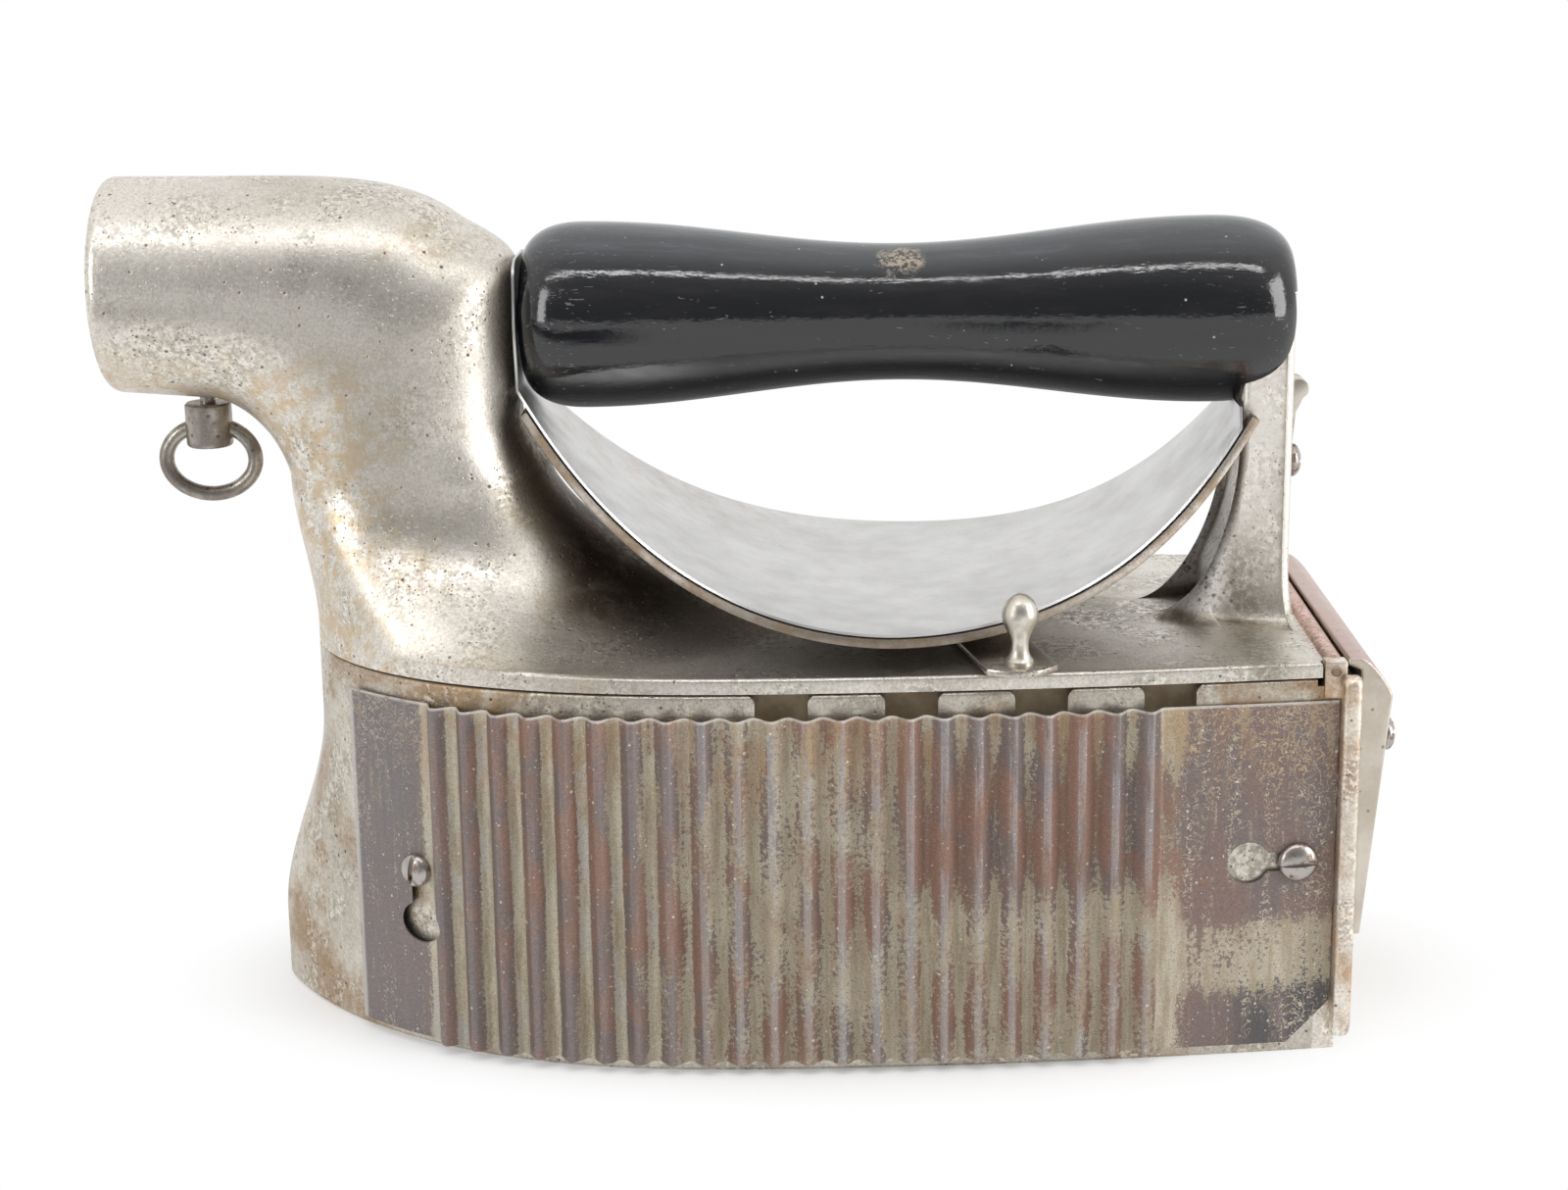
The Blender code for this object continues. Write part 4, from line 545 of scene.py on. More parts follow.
def sheet_line(runs, lift):
    """Plan points of a sheet at a distance from the wall, waves included."""
    x = np.interp(runs, wall_run, wall_x)
    y = np.interp(x, wall_x, wall_y)
    normal = np.stack([np.interp(x, wall_x, wall_normal[:, i]) for i in (0, 1)], axis=-1)
    reach = (lift + WAVE_HEIGHT * wave(runs))[:, None]
    line = np.stack((x, y), axis=-1) + normal * reach
    line[-1, 0] = SHEET_REAR_X
    return line


def sheet_tools(side):
    """Keyholes and the clipped corner of one side's sheet, as solids that reach across the side."""
    reach = sorted((side * 20 * MM, side * 70 * MM))
    past, clipped = SHEET_REAR_X + 5 * MM, SHEET_REAR_X - SHEET_CORNER
    shapes = [arc(FRONT_HOLE, HOLE_RADIUS, 0, 345, 24), arc(REAR_HOLE, HOLE_RADIUS, 0, 345, 24),
              arc(FRONT_SCREW, SLOT_HALF, 0, 180) + arc(FRONT_HOLE, SLOT_HALF, 180, 360),
              arc(REAR_SCREW, SLOT_HALF, -90, 90) + arc(REAR_HOLE, SLOT_HALF, 90, 270),
              [(clipped, SHEET_LOW_Z - 5 * MM), (past, SHEET_LOW_Z - 5 * MM),
               (past, SHEET_LOW_Z + SHEET_CORNER + 5 * MM), (clipped, SHEET_LOW_Z)]]
    return [slab("sheet_tool", shape, *reach, 1) for shape in shapes]


def oxidised_sheet(name, shift):
    """Corrugated sheet: khaki remnants over brown oxide. The khaki's share of the surface depends on the
    ridge (0 in a groove, 1 on a crest), the flank (-1 towards the nose, 1 towards the heel), the place along
    the wall and the height. It is laid out by noise in upright streaks, with crumbly borders."""
    look, shader = new_look(name, 0.3, 0.6)
    run = put(shader, "Attribute", attribute_name="along_wall").outputs["Vector"]
    ridge, flank = [put(shader, "Attribute", attribute_name=key).outputs["Fac"] for key in ("ridge", "flank")]
    along, height = put(shader, "SeparateXYZ", {0: run}).outputs[:2]
    streak_place, patch_place, fine_place = [mapped(run, (1000, tall, 1), shift) for tall in (110, 500, 1000)]
    crumbs = grain(fine_place, 0.8, 3, 0.8)
    dust = grain(fine_place, 0.28, 2, 0.7)
    streaks = grain(streak_place, 2.2, 4, 0.6)
    patches = grain(patch_place, 9, 5, 0.6, 0.6)
    broad = grain(patch_place, 30, 4, 0.55)

    front = ramp(along, 0.052, 0.088, 1, 0)
    middle = product(ramp(along, 0.052, 0.08), ramp(along, 0.118, 0.098))
    groove = ramp(ridge, 0.08, 0.62, 1, 0)
    lower = ramp(height, 0.042, 0.027)
    top = ramp(height, 0.052, 0.067)
    front_share = ramp(total(groove, product(flank, 0.35)), 0.0, 0.9, 0.1, 0.92)
    rear_upper = total(0.1, product(groove, 0.28), product(groove, top, 0.5))
    rear_share = between(lower, rear_upper, ramp(groove, 0, 1, 0.5, 0.9))
    share = between(middle, rear_share, ramp(groove, 0, 1, 0.48, 0.68))
    share = between(front, share, front_share)
    rear_flat = ramp(along, 0.1585, 0.1615)
    fringe = product(ramp(height, 0.0525, 0.066), 0.3)
    patch_low = product(ramp(height, 0.030, 0.024), ramp(height, 0.010, 0.016), 0.62)
    share = between(rear_flat, share, total(0.08, fringe, patch_low))
    front_flat = ramp(along, 0.0185, 0.0165)
    share = between(front_flat, share, 0.16)
    loose = total(product(streaks, 0.36), product(patches, 0.22), product(crumbs, 0.42),
                  product(dust, 0.2), product(broad, 0.12))
    loose = ramp(loose, 0.51, 0.81)
    plated = ramp(reckon("SUBTRACT", share, loose), -0.07, 0.07)
    worm_noise = grain(fine_place, 1.5, 2, 0.6, 0.8)
    worms = ramp(reckon("ABSOLUTE", reckon("SUBTRACT", worm_noise, 0.5), 0), 0.035, 0.012)
    flat = most(rear_flat, product(front_flat, 0.8))
    crowd = total(grain(streak_place, 3.5, 4, 0.65), product(top, 0.2),
                  product(ramp(along, 0.176, 0.184), 0.1))
    plated = most(plated, product(flat, worms, ramp(crowd, 0.5, 0.6)))

    redness = ramp(total(product(patches, 0.6), product(broad, 0.5)), 0.48, 0.62)
    redness = product(redness, ramp(rear_flat, 0, 1, 1, 0.4))
    oxide = blend(redness, (0.17, 0.135, 0.127), (0.245, 0.148, 0.112))
    oxide = blend(product(ramp(along, 0.03, 0.012), 0.75), oxide, (0.175, 0.165, 0.17))
    corner = product(ramp(along, 0.166, 0.176), ramp(height, 0.026, 0.015),
                     ramp(patches, 0.35, 0.5))
    oxide = blend(product(corner, 0.85), oxide, (0.075, 0.077, 0.082))
    # Painted highlight and wear: a thin grey line down the middle of each crest stands partly for light glinting
    # off it and partly for rubbed metal.
    crest = product(ramp(ridge, 0.955, 0.995), ramp(front, 0.2, 0.8, 1, 0.3),
                    ramp(streaks, 0.4, 0.52))
    khaki = blend(ramp(streaks, 0.36, 0.62), (0.33, 0.275, 0.195), (0.47, 0.42, 0.325))
    orange = product(ramp(height, 0.044, 0.06), ramp(patches, 0.42, 0.56), 0.6)
    khaki = blend(orange, khaki, (0.36, 0.235, 0.125))
    khaki = blend(product(front, ramp(patches, 0.5, 0.62), 0.7), khaki, (0.42, 0.41, 0.385))
    metal = blend(plated, oxide, khaki)
    metal = blend(product(crest, 0.42), metal, (0.36, 0.355, 0.36))
    speckle = ramp(total(product(dust, 0.6), product(crumbs, 0.4)), 0.36, 0.64, 0.74, 1.26)
    metal = brightened(metal, speckle)
    rust = product(ramp(grain(patch_place, 5, 6, 0.7), 0.63, 0.70), ramp(crumbs, 0.4, 0.6))
    metal = blend(product(rust, 0.6), metal, (0.38, 0.14, 0.05))
    flecks = most(spots(fine_place, 1.0, 0.15, 0.3), spots(fine_place, 2.3, 0.26, 0.3))
    metal = blend(product(flecks, 0.75), metal, (0.68, 0.64, 0.54))
    rims = most(ramp(height, 0.0678, 0.0682), ramp(along, 0.0007, 0.0003))
    metal = blend(product(rims, ramp(streaks, 0.3, 0.5, 0.15, 0.65)), metal, (0.6, 0.57, 0.53))
    feed(shader, Base_Color=metal, Roughness=ramp(plated, 0, 1, 0.55, 0.65), Metallic=ramp(plated, 0, 1, 0.3, 0.12))
    relief(shader, total(product(plated, 0.5), product(crumbs, 0.5), product(dust, 0.3)), 0.09, 0.6)
    return look


sheet_runs = np.concatenate((np.linspace(0, wave_start, 14)[:-1],
                             np.linspace(wave_start, wave_end, wave_count * 20 + 1),
                             np.linspace(wave_end, wall_run[-1], 24)[1:]))
EDGE = 0.15 * MM
for name, side in (("near_side_sheet", -1), ("far_side_sheet", 1)):
    rings = []
    for z, inset in ((SHEET_LOW_Z, EDGE), (SHEET_LOW_Z + EDGE, 0), (SHEET_TOP_Z - EDGE, 0), (SHEET_TOP_Z, EDGE)):
        inner = sheet_line(sheet_runs, SHEET_GAP + inset)
        outer = sheet_line(sheet_runs, SHEET_GAP + SHEET - inset)
        ring = np.concatenate((inner, outer[::-1]))
        rings.append(np.column_stack((ring[:, 0], side * ring[:, 1], np.full(len(ring), z))))
    sheet = skin(name, np.array(rings))
    carve(sheet, sheet_tools(side))
    co = np.empty(len(sheet.data.vertices) * 3)
    sheet.data.vertices.foreach_get("co", co)
    co = co.reshape(-1, 3)
    runs = np.interp(co[:, 0], wall_x, wall_run)
    lift = (np.abs(co[:, 1]) - np.interp(co[:, 0], wall_x, wall_y)) * np.interp(co[:, 0], wall_x, wall_normal[:, 1])
    phase = 2 * np.pi * wave_count * np.clip((runs - wave_start) / (wave_end - wave_start), 0, 1)
    values = {"ridge": np.clip((lift - SHEET_GAP - SHEET / 2) / WAVE_HEIGHT, 0, 1), "flank": -np.sin(phase)}
    for key, value in values.items():
        sheet.data.attributes.new(key, "FLOAT", "POINT").data.foreach_set("value", value.astype(np.float32))
    run_height = np.column_stack((runs, co[:, 2], np.zeros(len(co)))).astype(np.float32)
    sheet.data.attributes.new("along_wall", "FLOAT_VECTOR", "POINT").data.foreach_set("vector", run_height.ravel())
    coat(sheet, oxidised_sheet(name + "_oxide", (3 + 40 * side, 7, 0)))
    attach(sheet, "box")
    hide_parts(name.replace("_sheet", "_shield"))

# ---- shield screws ----------------------------------------------------------
# Round-head steel screws, slotted, that the sheets hang on. Their domes are rubbed grey and the
# slots are rusty. The front pair's slots stand upright, the rear pair's lie level.
SCREW_HEIGHT = 2 * MM
SCREW_RIM = 0.35 * MM
SEAT_SINK = 0.28 * MM
SLOT_WIDTH = 1.1 * MM


def screw_look(name, shift):
    """Grey steel with brown stain in blotches."""
    return cloudy(name, 1.0, 0.34, (2.2, 5, 0.65), (0.5, 0.66), ((0.47, 0.44, 0.41), (0.22, 0.125, 0.085)),
                  (0.28, 0.55), ((0.7, 4, 0.7), 0.1, 0.4), shift)[0]


slot_look = cloudy("rusty_slot", 0.2, 0.85, (1.2, 4), (0.4, 0.6), ((0.05, 0.025, 0.015), (0.12, 0.05, 0.025)))[0]


def round_screw(name, seat, normal, head, height, slot_along, depth=1.0 * MM):
    """Domed head on its seat: a lathe of a quarter ellipse over a short rim, with a slot sawn across. The
    sawn faces take the second material."""
    turn = np.linspace(0, np.pi / 2, 12)
    profile = np.column_stack((head * np.sin(turn), (height - SCREW_RIM) * np.cos(turn) + SCREW_RIM))
    profile = np.concatenate((profile, [(head, 0), (head * 0.96, -SEAT_SINK), (0, -SEAT_SINK)]))
    up = Vector(normal).normalized()
    along = (Vector(slot_along) - up * up.dot(Vector(slot_along))).normalized()
    place = Matrix.Translation(seat) @ Matrix((along, up.cross(along), up)).transposed().to_4x4()
    screw = lathe(name, profile, place)
    saw = block("saw", (-2 * head, -SLOT_WIDTH / 2, height - depth), (2 * head, SLOT_WIDTH / 2, height + head))
    saw.data.transform(place)
    saw.data.materials.append(slot_look)
    screw.data.materials.append(slot_look)
    carve(screw, [saw])
    turned = np.array(place.to_3x3())
    x, y, z = ((np.array([p.center for p in screw.data.polygons]) - np.array(seat)) @ turned).T
    facing = np.array([p.normal for p in screw.data.polygons]) @ turned
    in_slot = (np.abs(y) < SLOT_WIDTH * 0.501) & (z > height - depth * 1.05) & (np.hypot(x, y) < head)
    sawn = in_slot & ((np.abs(facing[:, 1]) > 0.9) | (facing[:, 2] > 0.995)) & (z < height - 0.02 * MM)
    screw.data.polygons.foreach_set("material_index", sawn.astype(np.int32))
    return screw


for place_name, (x, z), along, head in (("front", FRONT_SCREW, (0.12, 0, 1), SCREW_HEAD),
                                        ("rear", REAR_SCREW, (1, 0, 0.03), SCREW_HEAD + 0.5 * MM)):
    for side_name, side in (("near", -1), ("far", 1)):
        y = float(wall_half(np.array([x]))[0])
        normal = [float(np.interp(x, wall_x, wall_normal[:, i])) for i in (0, 1)]
        normal = (normal[0], side * normal[1], 0)
        seat = Vector((x, side * y, z)) + Vector(normal) * (2 * SHEET_GAP + SHEET)
        name = f"{place_name}_{side_name}"
        screw = round_screw(f"dome_{name}", seat, normal, head, SCREW_HEIGHT, along)
        coat(screw, screw_look(f"screw_steel_{name}", (x * 1000, side * 5, 0)), slot_look)
        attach(screw, "box")
        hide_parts(f"shield_screw_{name}")

# ---- rear hood --------------------------------------------------------------
# A box-like sheet hood that stands on the rear wall over the air window, open at its foot. It is
# thin plated sheet with a rolled top shoulder, stained pink on top and golden on its ends.
HOOD_HALF = 42 * MM
HOOD_SHEET = 1.4 * MM
HOOD_TOP_Z = 76 * MM
HOOD_FRONT_X = 103.3 * MM
HOOD_SHOULDER = (111.6 * MM, 68.5 * MM)
HOOD_ROUND = 1.35
HOOD_FOOT = (107.2 * MM, 22.6 * MM)
HOOD_SCREW_Y = 36 * MM
HOOD_SCREW_Z = 60 * MM
HOOD_SEAT_X = FLANGE_REAR_X + GAP
HOOD_LIP_Z = FLANGE_TOP_Z + GAP


def hood_back(inset):
    """Back of the hood from foot to top: a straight slope, then a superellipse round the shoulder."""
    turn = np.pi / 2 * np.arange(17) / 16
    run = HOOD_SHOULDER[0] - HOOD_SEAT_X
    x = HOOD_SHOULDER[0] - run + (run - inset) * np.cos(turn) ** (2 / HOOD_ROUND)
    z = HOOD_SHOULDER[1] + (HOOD_TOP_Z - HOOD_SHOULDER[1] - inset) * np.sin(turn) ** (2 / HOOD_ROUND)
    return [(HOOD_FOOT[0] - inset, HOOD_FOOT[1] - (5 * MM if inset else 0))] + list(zip(x, z))


hood = slab("hood_shell", hood_back(0) + [(HOOD_FRONT_X, HOOD_TOP_Z), (HOOD_FRONT_X, HOOD_TOP_Z - HOOD_SHEET),
                                          (HOOD_SEAT_X, HOOD_LIP_Z), (HOOD_SEAT_X, HOOD_FOOT[1])],
            -HOOD_HALF, HOOD_HALF, 1)
soften(hood, 0.45 * MM, 3)
hollow = hood_back(HOOD_SHEET)[:-1] + [(HOOD_SEAT_X, HOOD_LIP_Z - HOOD_SHEET),
                                       (HOOD_SEAT_X - 5 * MM, HOOD_LIP_Z - HOOD_SHEET),
                                       (HOOD_SEAT_X - 5 * MM, HOOD_FOOT[1] - 5 * MM)]
carve(hood, [slab("hood_hollow", hollow, HOOD_SHEET - HOOD_HALF, HOOD_HALF - HOOD_SHEET, 1)])
hood_look, shader, plate, place = cloudy("hood_plate", 1.0, 0.4, (12, 6, 0.65), (0.35, 0.65),
                                         ((0.70, 0.65, 0.57), (0.56, 0.50, 0.42)),
                                         bump=((1.1, 5, 0.7), 0.12, 0.5), shift=(5, 1, 9))
plate = blend(ramp(upward(shader), 0.15, 0.7), plate, (0.60, 0.47, 0.43))
plate = blend(product(spots(place, 1.8, 0.35, 0.4), 0.6), plate, (0.16, 0.12, 0.09))
feed(shader, Base_Color=plate, Roughness=ramp(grain(place, 5, 4), 0.3, 0.7, 0.36, 0.52))
coat(hood, hood_look)
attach(hood, "box")
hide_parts("rear_hood")

# ---- hood screws and hinge pin ----------------------------------------------
# Two round-head screws hold the hood to the flange. The hinge pin is plain round steel, browned,
# riveted through the ears of the box.
hood_seat_x = float(mix(HOOD_FOOT[0], HOOD_SHOULDER[0], (HOOD_SCREW_Z + SCREW_HEAD - HOOD_FOOT[1])
                        / (HOOD_SHOULDER[1] - HOOD_FOOT[1]))) + GAP
for side_name, side in (("near", -1), ("far", 1)):
    seat = Vector((hood_seat_x, side * HOOD_SCREW_Y, HOOD_SCREW_Z))
    screw = round_screw(f"hood_dome_{side_name}", seat, (1, 0, 0), SCREW_HEAD, SCREW_HEIGHT, (0, 1, 0.5 * side))
    coat(screw, screw_look(f"hood_screw_steel_{side_name}", (2, side * 9, 4)), slot_look)
    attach(screw, "box")
    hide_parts(f"hood_screw_{side_name}")

PIN_RADIUS = 1 * MM
PIN_FACE = 0.7 * PIN_RADIUS
brown_steel = cloudy("browned_steel", 1.0, 0.5, (3, 5, 0.6), (0.4, 0.6),
                     ((0.33, 0.25, 0.18), (0.18, 0.11, 0.075)))[0]
on_hinge = Matrix.Translation((HINGE_X, 0, HINGE_Z)) @ Matrix.Rotation(math.radians(90), 4, "X")
pin_end, pin_edge = EAR_OUTER_Y + 0.1 * MM, EAR_OUTER_Y - 0.2 * MM
pin = lathe("hinge_pin_steel", [(0, pin_end), (PIN_FACE, pin_end), (PIN_RADIUS, pin_edge), (PIN_RADIUS, -pin_edge),
                                (PIN_FACE, -pin_end), (0, -pin_end)], on_hinge, 32)
coat(pin, brown_steel)
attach(pin, "box")
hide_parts("hinge_pin")

# ---- lid casting ------------------------------------------------------------
# One casting: a flat lid plate, a bell that grows out of its nose into an oval column, an elbow and a
# round barrel, and at the heel the post that carries the handle. Nickel plated outside, sooty inside.
LID_UNDER_Z = 72.6 * MM
LID_EDGE_Z = 75.4 * MM
LID_TOP_Z = 75.8 * MM
LID_REAR_X = 98.5 * MM
CASTING_WALL = 3 * MM
FLUSH_END_X = -54 * MM
BELL_TOE_X = 8 * MM
BELL_CURVE = (1.4, 0.55)
BELL_SIDE_CURVE = (2.6, 0.6)
ELBOW_X = -109 * MM
ELBOW_Z = 105.2 * MM
BEND_RADIUS = 13.7 * MM
BEND_EASE = 1.6 * MM
COLUMN_REAR_X = -50.7 * MM
COLUMN_HALF = 22 * MM
COLUMN_POWER = 2.6
COLUMN_FLARE = 5 * MM
COLUMN_FLARE_ANGLE = 12
BARREL_RADIUS = 21.2 * MM
MOUTH_RADIUS = 20.6 * MM
MOUTH_RISE = 0.8 * MM
MOUTH_X = -129 * MM
MOUTH_ROUND = 2.2 * MM
SHOULDER_ANGLE = 34
SHOULDER_SPAN = 12
SHOULDER_POWER = 3.9
BELL_ROWS = 46
ELBOW_ROWS = 64

flush_share = math.acos(1 - 2 * (FLUSH_END_X - UPPER_NOSE_X) / (BELL_TOE_X - UPPER_NOSE_X)) / math.pi
CORNER_SHARE = 0.62
rest = np.concatenate((np.linspace(0, CORNER_SHARE, 41), np.linspace(CORNER_SHARE, 1, 22)[1:]))
share = np.concatenate((np.linspace(0, flush_share, 50)[:-1], mix(flush_share, 1, rest)))
around = np.pi * (1 - share)


def fold(x, y, z):
    """Closed rings from one side's points: the near side, then the far side back to the nose."""
    x, y, z = np.broadcast_arrays(x, y, z)
    near = np.stack((x, -y, z), axis=-1)
    far = np.stack((x, y, z), axis=-1)[:, -2:0:-1]
    return np.concatenate((near, far), axis=1)


def foot_points(wall):
    """Foot of the bell: the hull's outline at the nose, pinched to an ellipse towards the toe."""
    nose, toe = UPPER_NOSE_X + wall, BELL_TOE_X - wall
    x = mix(nose, toe, (1 - np.cos(np.pi * share)) / 2)
    y = half_width(x, nose, *UPPER_FULLNESS) - wall * np.clip((x - nose) / (3 * CASTING_WALL), 0, 1)
    t = np.clip((x - FLUSH_END_X) / (toe - FLUSH_END_X), 0, 1)
    return x, np.maximum(y * np.sqrt(1 - t ** 2), 0)


def edge_points():
    """Edge of the lid plate: the foot's own points at the nose, then the hull's side and the heel."""
    x, y = foot_points(0)
    behind = share >= flush_share
    side_x = mix(FLUSH_END_X, LID_REAR_X, np.clip(rest / CORNER_SHARE, 0, 1))
    side_y = half_width(side_x, UPPER_NOSE_X, *UPPER_FULLNESS)
    side_y = side_y * (1 - np.clip((rest - CORNER_SHARE) / (1 - CORNER_SHARE), 0, 1))
    x[behind], y[behind] = side_x, side_y
    return x, y


def oval(power):
    """Superellipse through the section's corners: how far each point lies along and across it."""
    along, across = np.cos(around), np.sin(around)
    return np.sign(along) * np.abs(along) ** (2 / power), np.abs(across) ** (2 / power)


def bell(wall, low_z):
    """Rings from the foot up to the oval column. Each point is pulled from its foot to its place on the
    column, by a smooth step at the nose and elsewhere by a superellipse that ends upright."""
    foot_x, foot_y = foot_points(wall)
    front, rear = ELBOW_X + BEND_RADIUS + wall, COLUMN_REAR_X + COLUMN_FLARE - wall
    along, across = oval(COLUMN_POWER)
    column_x = (front + rear) / 2 + (rear - front) / 2 * along
    column_y = (COLUMN_HALF - wall) * across
    rise = ((np.arange(BELL_ROWS + 1) / BELL_ROWS) ** 1.5)[:, None]
    pull_x, pull_y = (mix(ease(rise), (1 - (1 - rise) ** first) ** second, ease((share - 0.15) / 0.45))
                      for first, second in (BELL_CURVE, BELL_SIDE_CURVE))
    return fold(mix(foot_x, column_x, pull_x), mix(foot_y, column_y, pull_y), mix(low_z, ELBOW_Z, rise))


def outer_bend(turn):
    """Distance of the elbow's outer side from its centre: upright to the shoulder angle, swelling at its foot
    as the square of what is left of the flare, and past it a superellipse that the corner eases into."""
    back, top = COLUMN_REAR_X - ELBOW_X, BEND_RADIUS + 2 * BARREL_RADIUS

    def rounded(angle):
        power = SHOULDER_POWER
        return ((np.cos(angle) / back) ** power + (np.sin(angle) / top) ** power) ** (-1 / power)

    shoulder = math.radians(SHOULDER_ANGLE)
    past = ease((turn - shoulder) / math.radians(SHOULDER_SPAN))
    bent = rounded(turn) + (back / math.cos(shoulder) - rounded(shoulder)) * (1 - past)
    swell = COLUMN_FLARE * np.clip(1 - turn / math.radians(COLUMN_FLARE_ANGLE), 0, 1) ** 2
    return np.where(turn <= shoulder, (back + swell) / np.cos(np.minimum(turn, 1.2)), bent)


def elbow(wall):
    """Rings that swing from level to upright round the elbow's centre: each is an oval whose near and
    far ends lie on the inner and outer bends."""
    turn = np.radians(np.linspace(0, 90, ELBOW_ROWS))[1:, None]
    inner = BEND_RADIUS - BEND_EASE * np.sin(2 * turn) + wall
    outer = outer_bend(turn) - wall
    half = mix(COLUMN_HALF, BARREL_RADIUS, turn / (np.pi / 2)) - wall
    along, across = oval(mix(COLUMN_POWER, 2, ease(turn / (np.pi / 2))))
    radial = (inner + outer) / 2 + (outer - inner) / 2 * along
    return fold(ELBOW_X + radial * np.cos(turn), half * across, ELBOW_Z + radial * np.sin(turn))


def barrel(stations, radii):
    """Round rings along the barrel, whose axis climbs a little to the mouth."""
    stations, radii = np.asarray(stations)[:, None], np.asarray(radii)[:, None]
    axis_z = ELBOW_Z + BEND_RADIUS + BARREL_RADIUS + MOUTH_RISE * (ELBOW_X - stations) / (ELBOW_X - MOUTH_X)
    return fold(stations, radii * np.sin(around), axis_z + radii * np.cos(around))


edge_x, edge_y = edge_points()
foot_x, foot_y = foot_points(0)
loose = ease((foot_x - FLUSH_END_X) / (14 * MM))
turn = np.linspace(0, np.pi / 2, 5)[:, None]
EDGE_ROUND = 0.7 * MM
lower = fold(*[np.broadcast_to(v, (3, len(share))) for v in (edge_x, edge_y)],
             np.array([LID_UNDER_Z, mix(LID_UNDER_Z, LID_EDGE_Z, 0.4), LID_EDGE_Z - EDGE_ROUND])[:, None])
drop = EDGE_ROUND * (1 - np.cos(turn)) * loose
heelward = np.clip((edge_x - 90 * MM) / (8 * MM), 0, 1)
upper_edge = fold(edge_x - drop * heelward, np.maximum(edge_y - drop, 0),
                  LID_EDGE_Z - EDGE_ROUND * (1 - np.sin(turn)))
across = np.linspace(0, 1, 12)[1:-1, None]
start_x, start_y = edge_x - EDGE_ROUND * loose * heelward, np.maximum(edge_y - EDGE_ROUND * loose, 0)
plate_top = fold(mix(start_x, foot_x, across), mix(start_y, foot_y, across), mix(LID_EDGE_Z, LID_TOP_Z, across))
lip = np.linspace(0, np.pi / 2, 7)
mouth = barrel(np.concatenate((np.linspace(ELBOW_X, MOUTH_X + MOUTH_ROUND, 14)[1:-1],
                               MOUTH_X + MOUTH_ROUND * (1 - np.sin(lip)))),
               np.concatenate((np.linspace(BARREL_RADIUS, MOUTH_RADIUS, 14)[1:-1],
                               MOUTH_RADIUS - MOUTH_ROUND * (1 - np.cos(lip)))))
bore = MOUTH_RADIUS - CASTING_WALL
mouth_inner = barrel([MOUTH_X, MOUTH_X + 0.5 * MM, MOUTH_X + 3 * MM, MOUTH_X + 13 * MM],
                     [bore + 0.5 * MM, bore, bore, bore])
outer = np.concatenate((lower, upper_edge[1:], plate_top, bell(0, LID_TOP_Z), elbow(0), mouth))
inner_bell = bell(CASTING_WALL, LID_UNDER_Z)
inner = np.concatenate((mouth_inner, elbow(CASTING_WALL)[::-1], inner_bell[::-1]))
sooty = np.arange(len(outer) + len(inner)) >= len(outer) + 1
lid = skin("lid_and_chimney", np.concatenate((outer, inner)), endless=True, inner_rows=sooty)

POST_FRONT_X = 87.2 * MM
POST_REAR_X = 97 * MM
POST_HALF = 11.8 * MM
POST_TOP_Z = 138.5 * MM
POST_CORNER = 1.5 * MM
ROOT_REACH = 18 * MM
ROOT_HEIGHT = 36 * MM
SIDE_ROOT_REACH = 8 * MM
SIDE_ROOT_HEIGHT = 11 * MM
REAR_ROOT_REACH = 1.2 * MM
ROOT_CORNER = 13 * MM
POST_SUNK = 0.3 * MM
PIVOT_X = 32 * MM
PAD_RADIUS = 14.5 * MM
PAD_TOP_Z = LID_TOP_Z + 0.5 * MM
PAD_ROUND = 0.3 * MM
PAD_LOW_Z = 74 * MM
BRIDGE_THICK = 2.4 * MM
LEVER_ANGLE = 12
VENT_RADIUS = 3.1 * MM
VENT_REACH = 8.6 * MM


def fillet(tall, height):
    """Share of a fillet's reach left at a height above its foot: a quarter of an ellipse, 1 at the foot."""
    return 1 - np.sqrt(1 - np.clip(1 - tall / height, 0, 1) ** 2)


post_height = POST_TOP_Z - LID_TOP_Z
height = np.concatenate(([-2 * MM, -1 * MM], ROOT_HEIGHT * np.linspace(0, 1, 48) ** 2.8, [post_height]))[:, None]
root, side_root = [fillet(np.maximum(height, 0), high) for high in (ROOT_HEIGHT, SIDE_ROOT_HEIGHT)]
post_front = POST_FRONT_X - ROOT_REACH * root
post_rear = POST_REAR_X + REAR_ROOT_REACH * side_root
post_half = POST_HALF + SIDE_ROOT_REACH * side_root
quarter = np.radians(np.linspace(0, 90, 6))
front_corner = POST_CORNER + ROOT_CORNER * side_root
x = np.concatenate((post_front + (front_corner * (1 - np.cos(quarter)))[:, ::-1],
                    post_rear - POST_CORNER * (1 - np.sin(quarter[::-1]))), axis=1)
y = np.concatenate((post_half - (front_corner * (1 - np.sin(quarter)))[:, ::-1],
                    post_half - POST_CORNER * (1 - np.cos(quarter[::-1]))), axis=1)
z = np.broadcast_to(LID_TOP_Z - POST_SUNK + height, x.shape)
post = skin("post", np.concatenate((np.stack((x, -y, z), axis=-1), np.stack((x, y, z), axis=-1)[:, ::-1]), axis=1))
pad = lathe("pad", [(0, PAD_TOP_Z), (PAD_RADIUS - PAD_ROUND, PAD_TOP_Z), (PAD_RADIUS, PAD_TOP_Z - PAD_ROUND),
                    (PAD_RADIUS, PAD_LOW_Z), (0, PAD_LOW_Z)], Matrix.Translation((PIVOT_X, 0, 0)), 72)
knuckle_half = EAR_INNER_Y - GAP
bridge = block("bridge", (LID_REAR_X - 2 * MM, -knuckle_half, LID_UNDER_Z),
               (HINGE_X, knuckle_half, LID_UNDER_Z + BRIDGE_THICK))
knuckle = rod("knuckle", KNUCKLE_RADIUS, (-knuckle_half, knuckle_half), on_hinge)
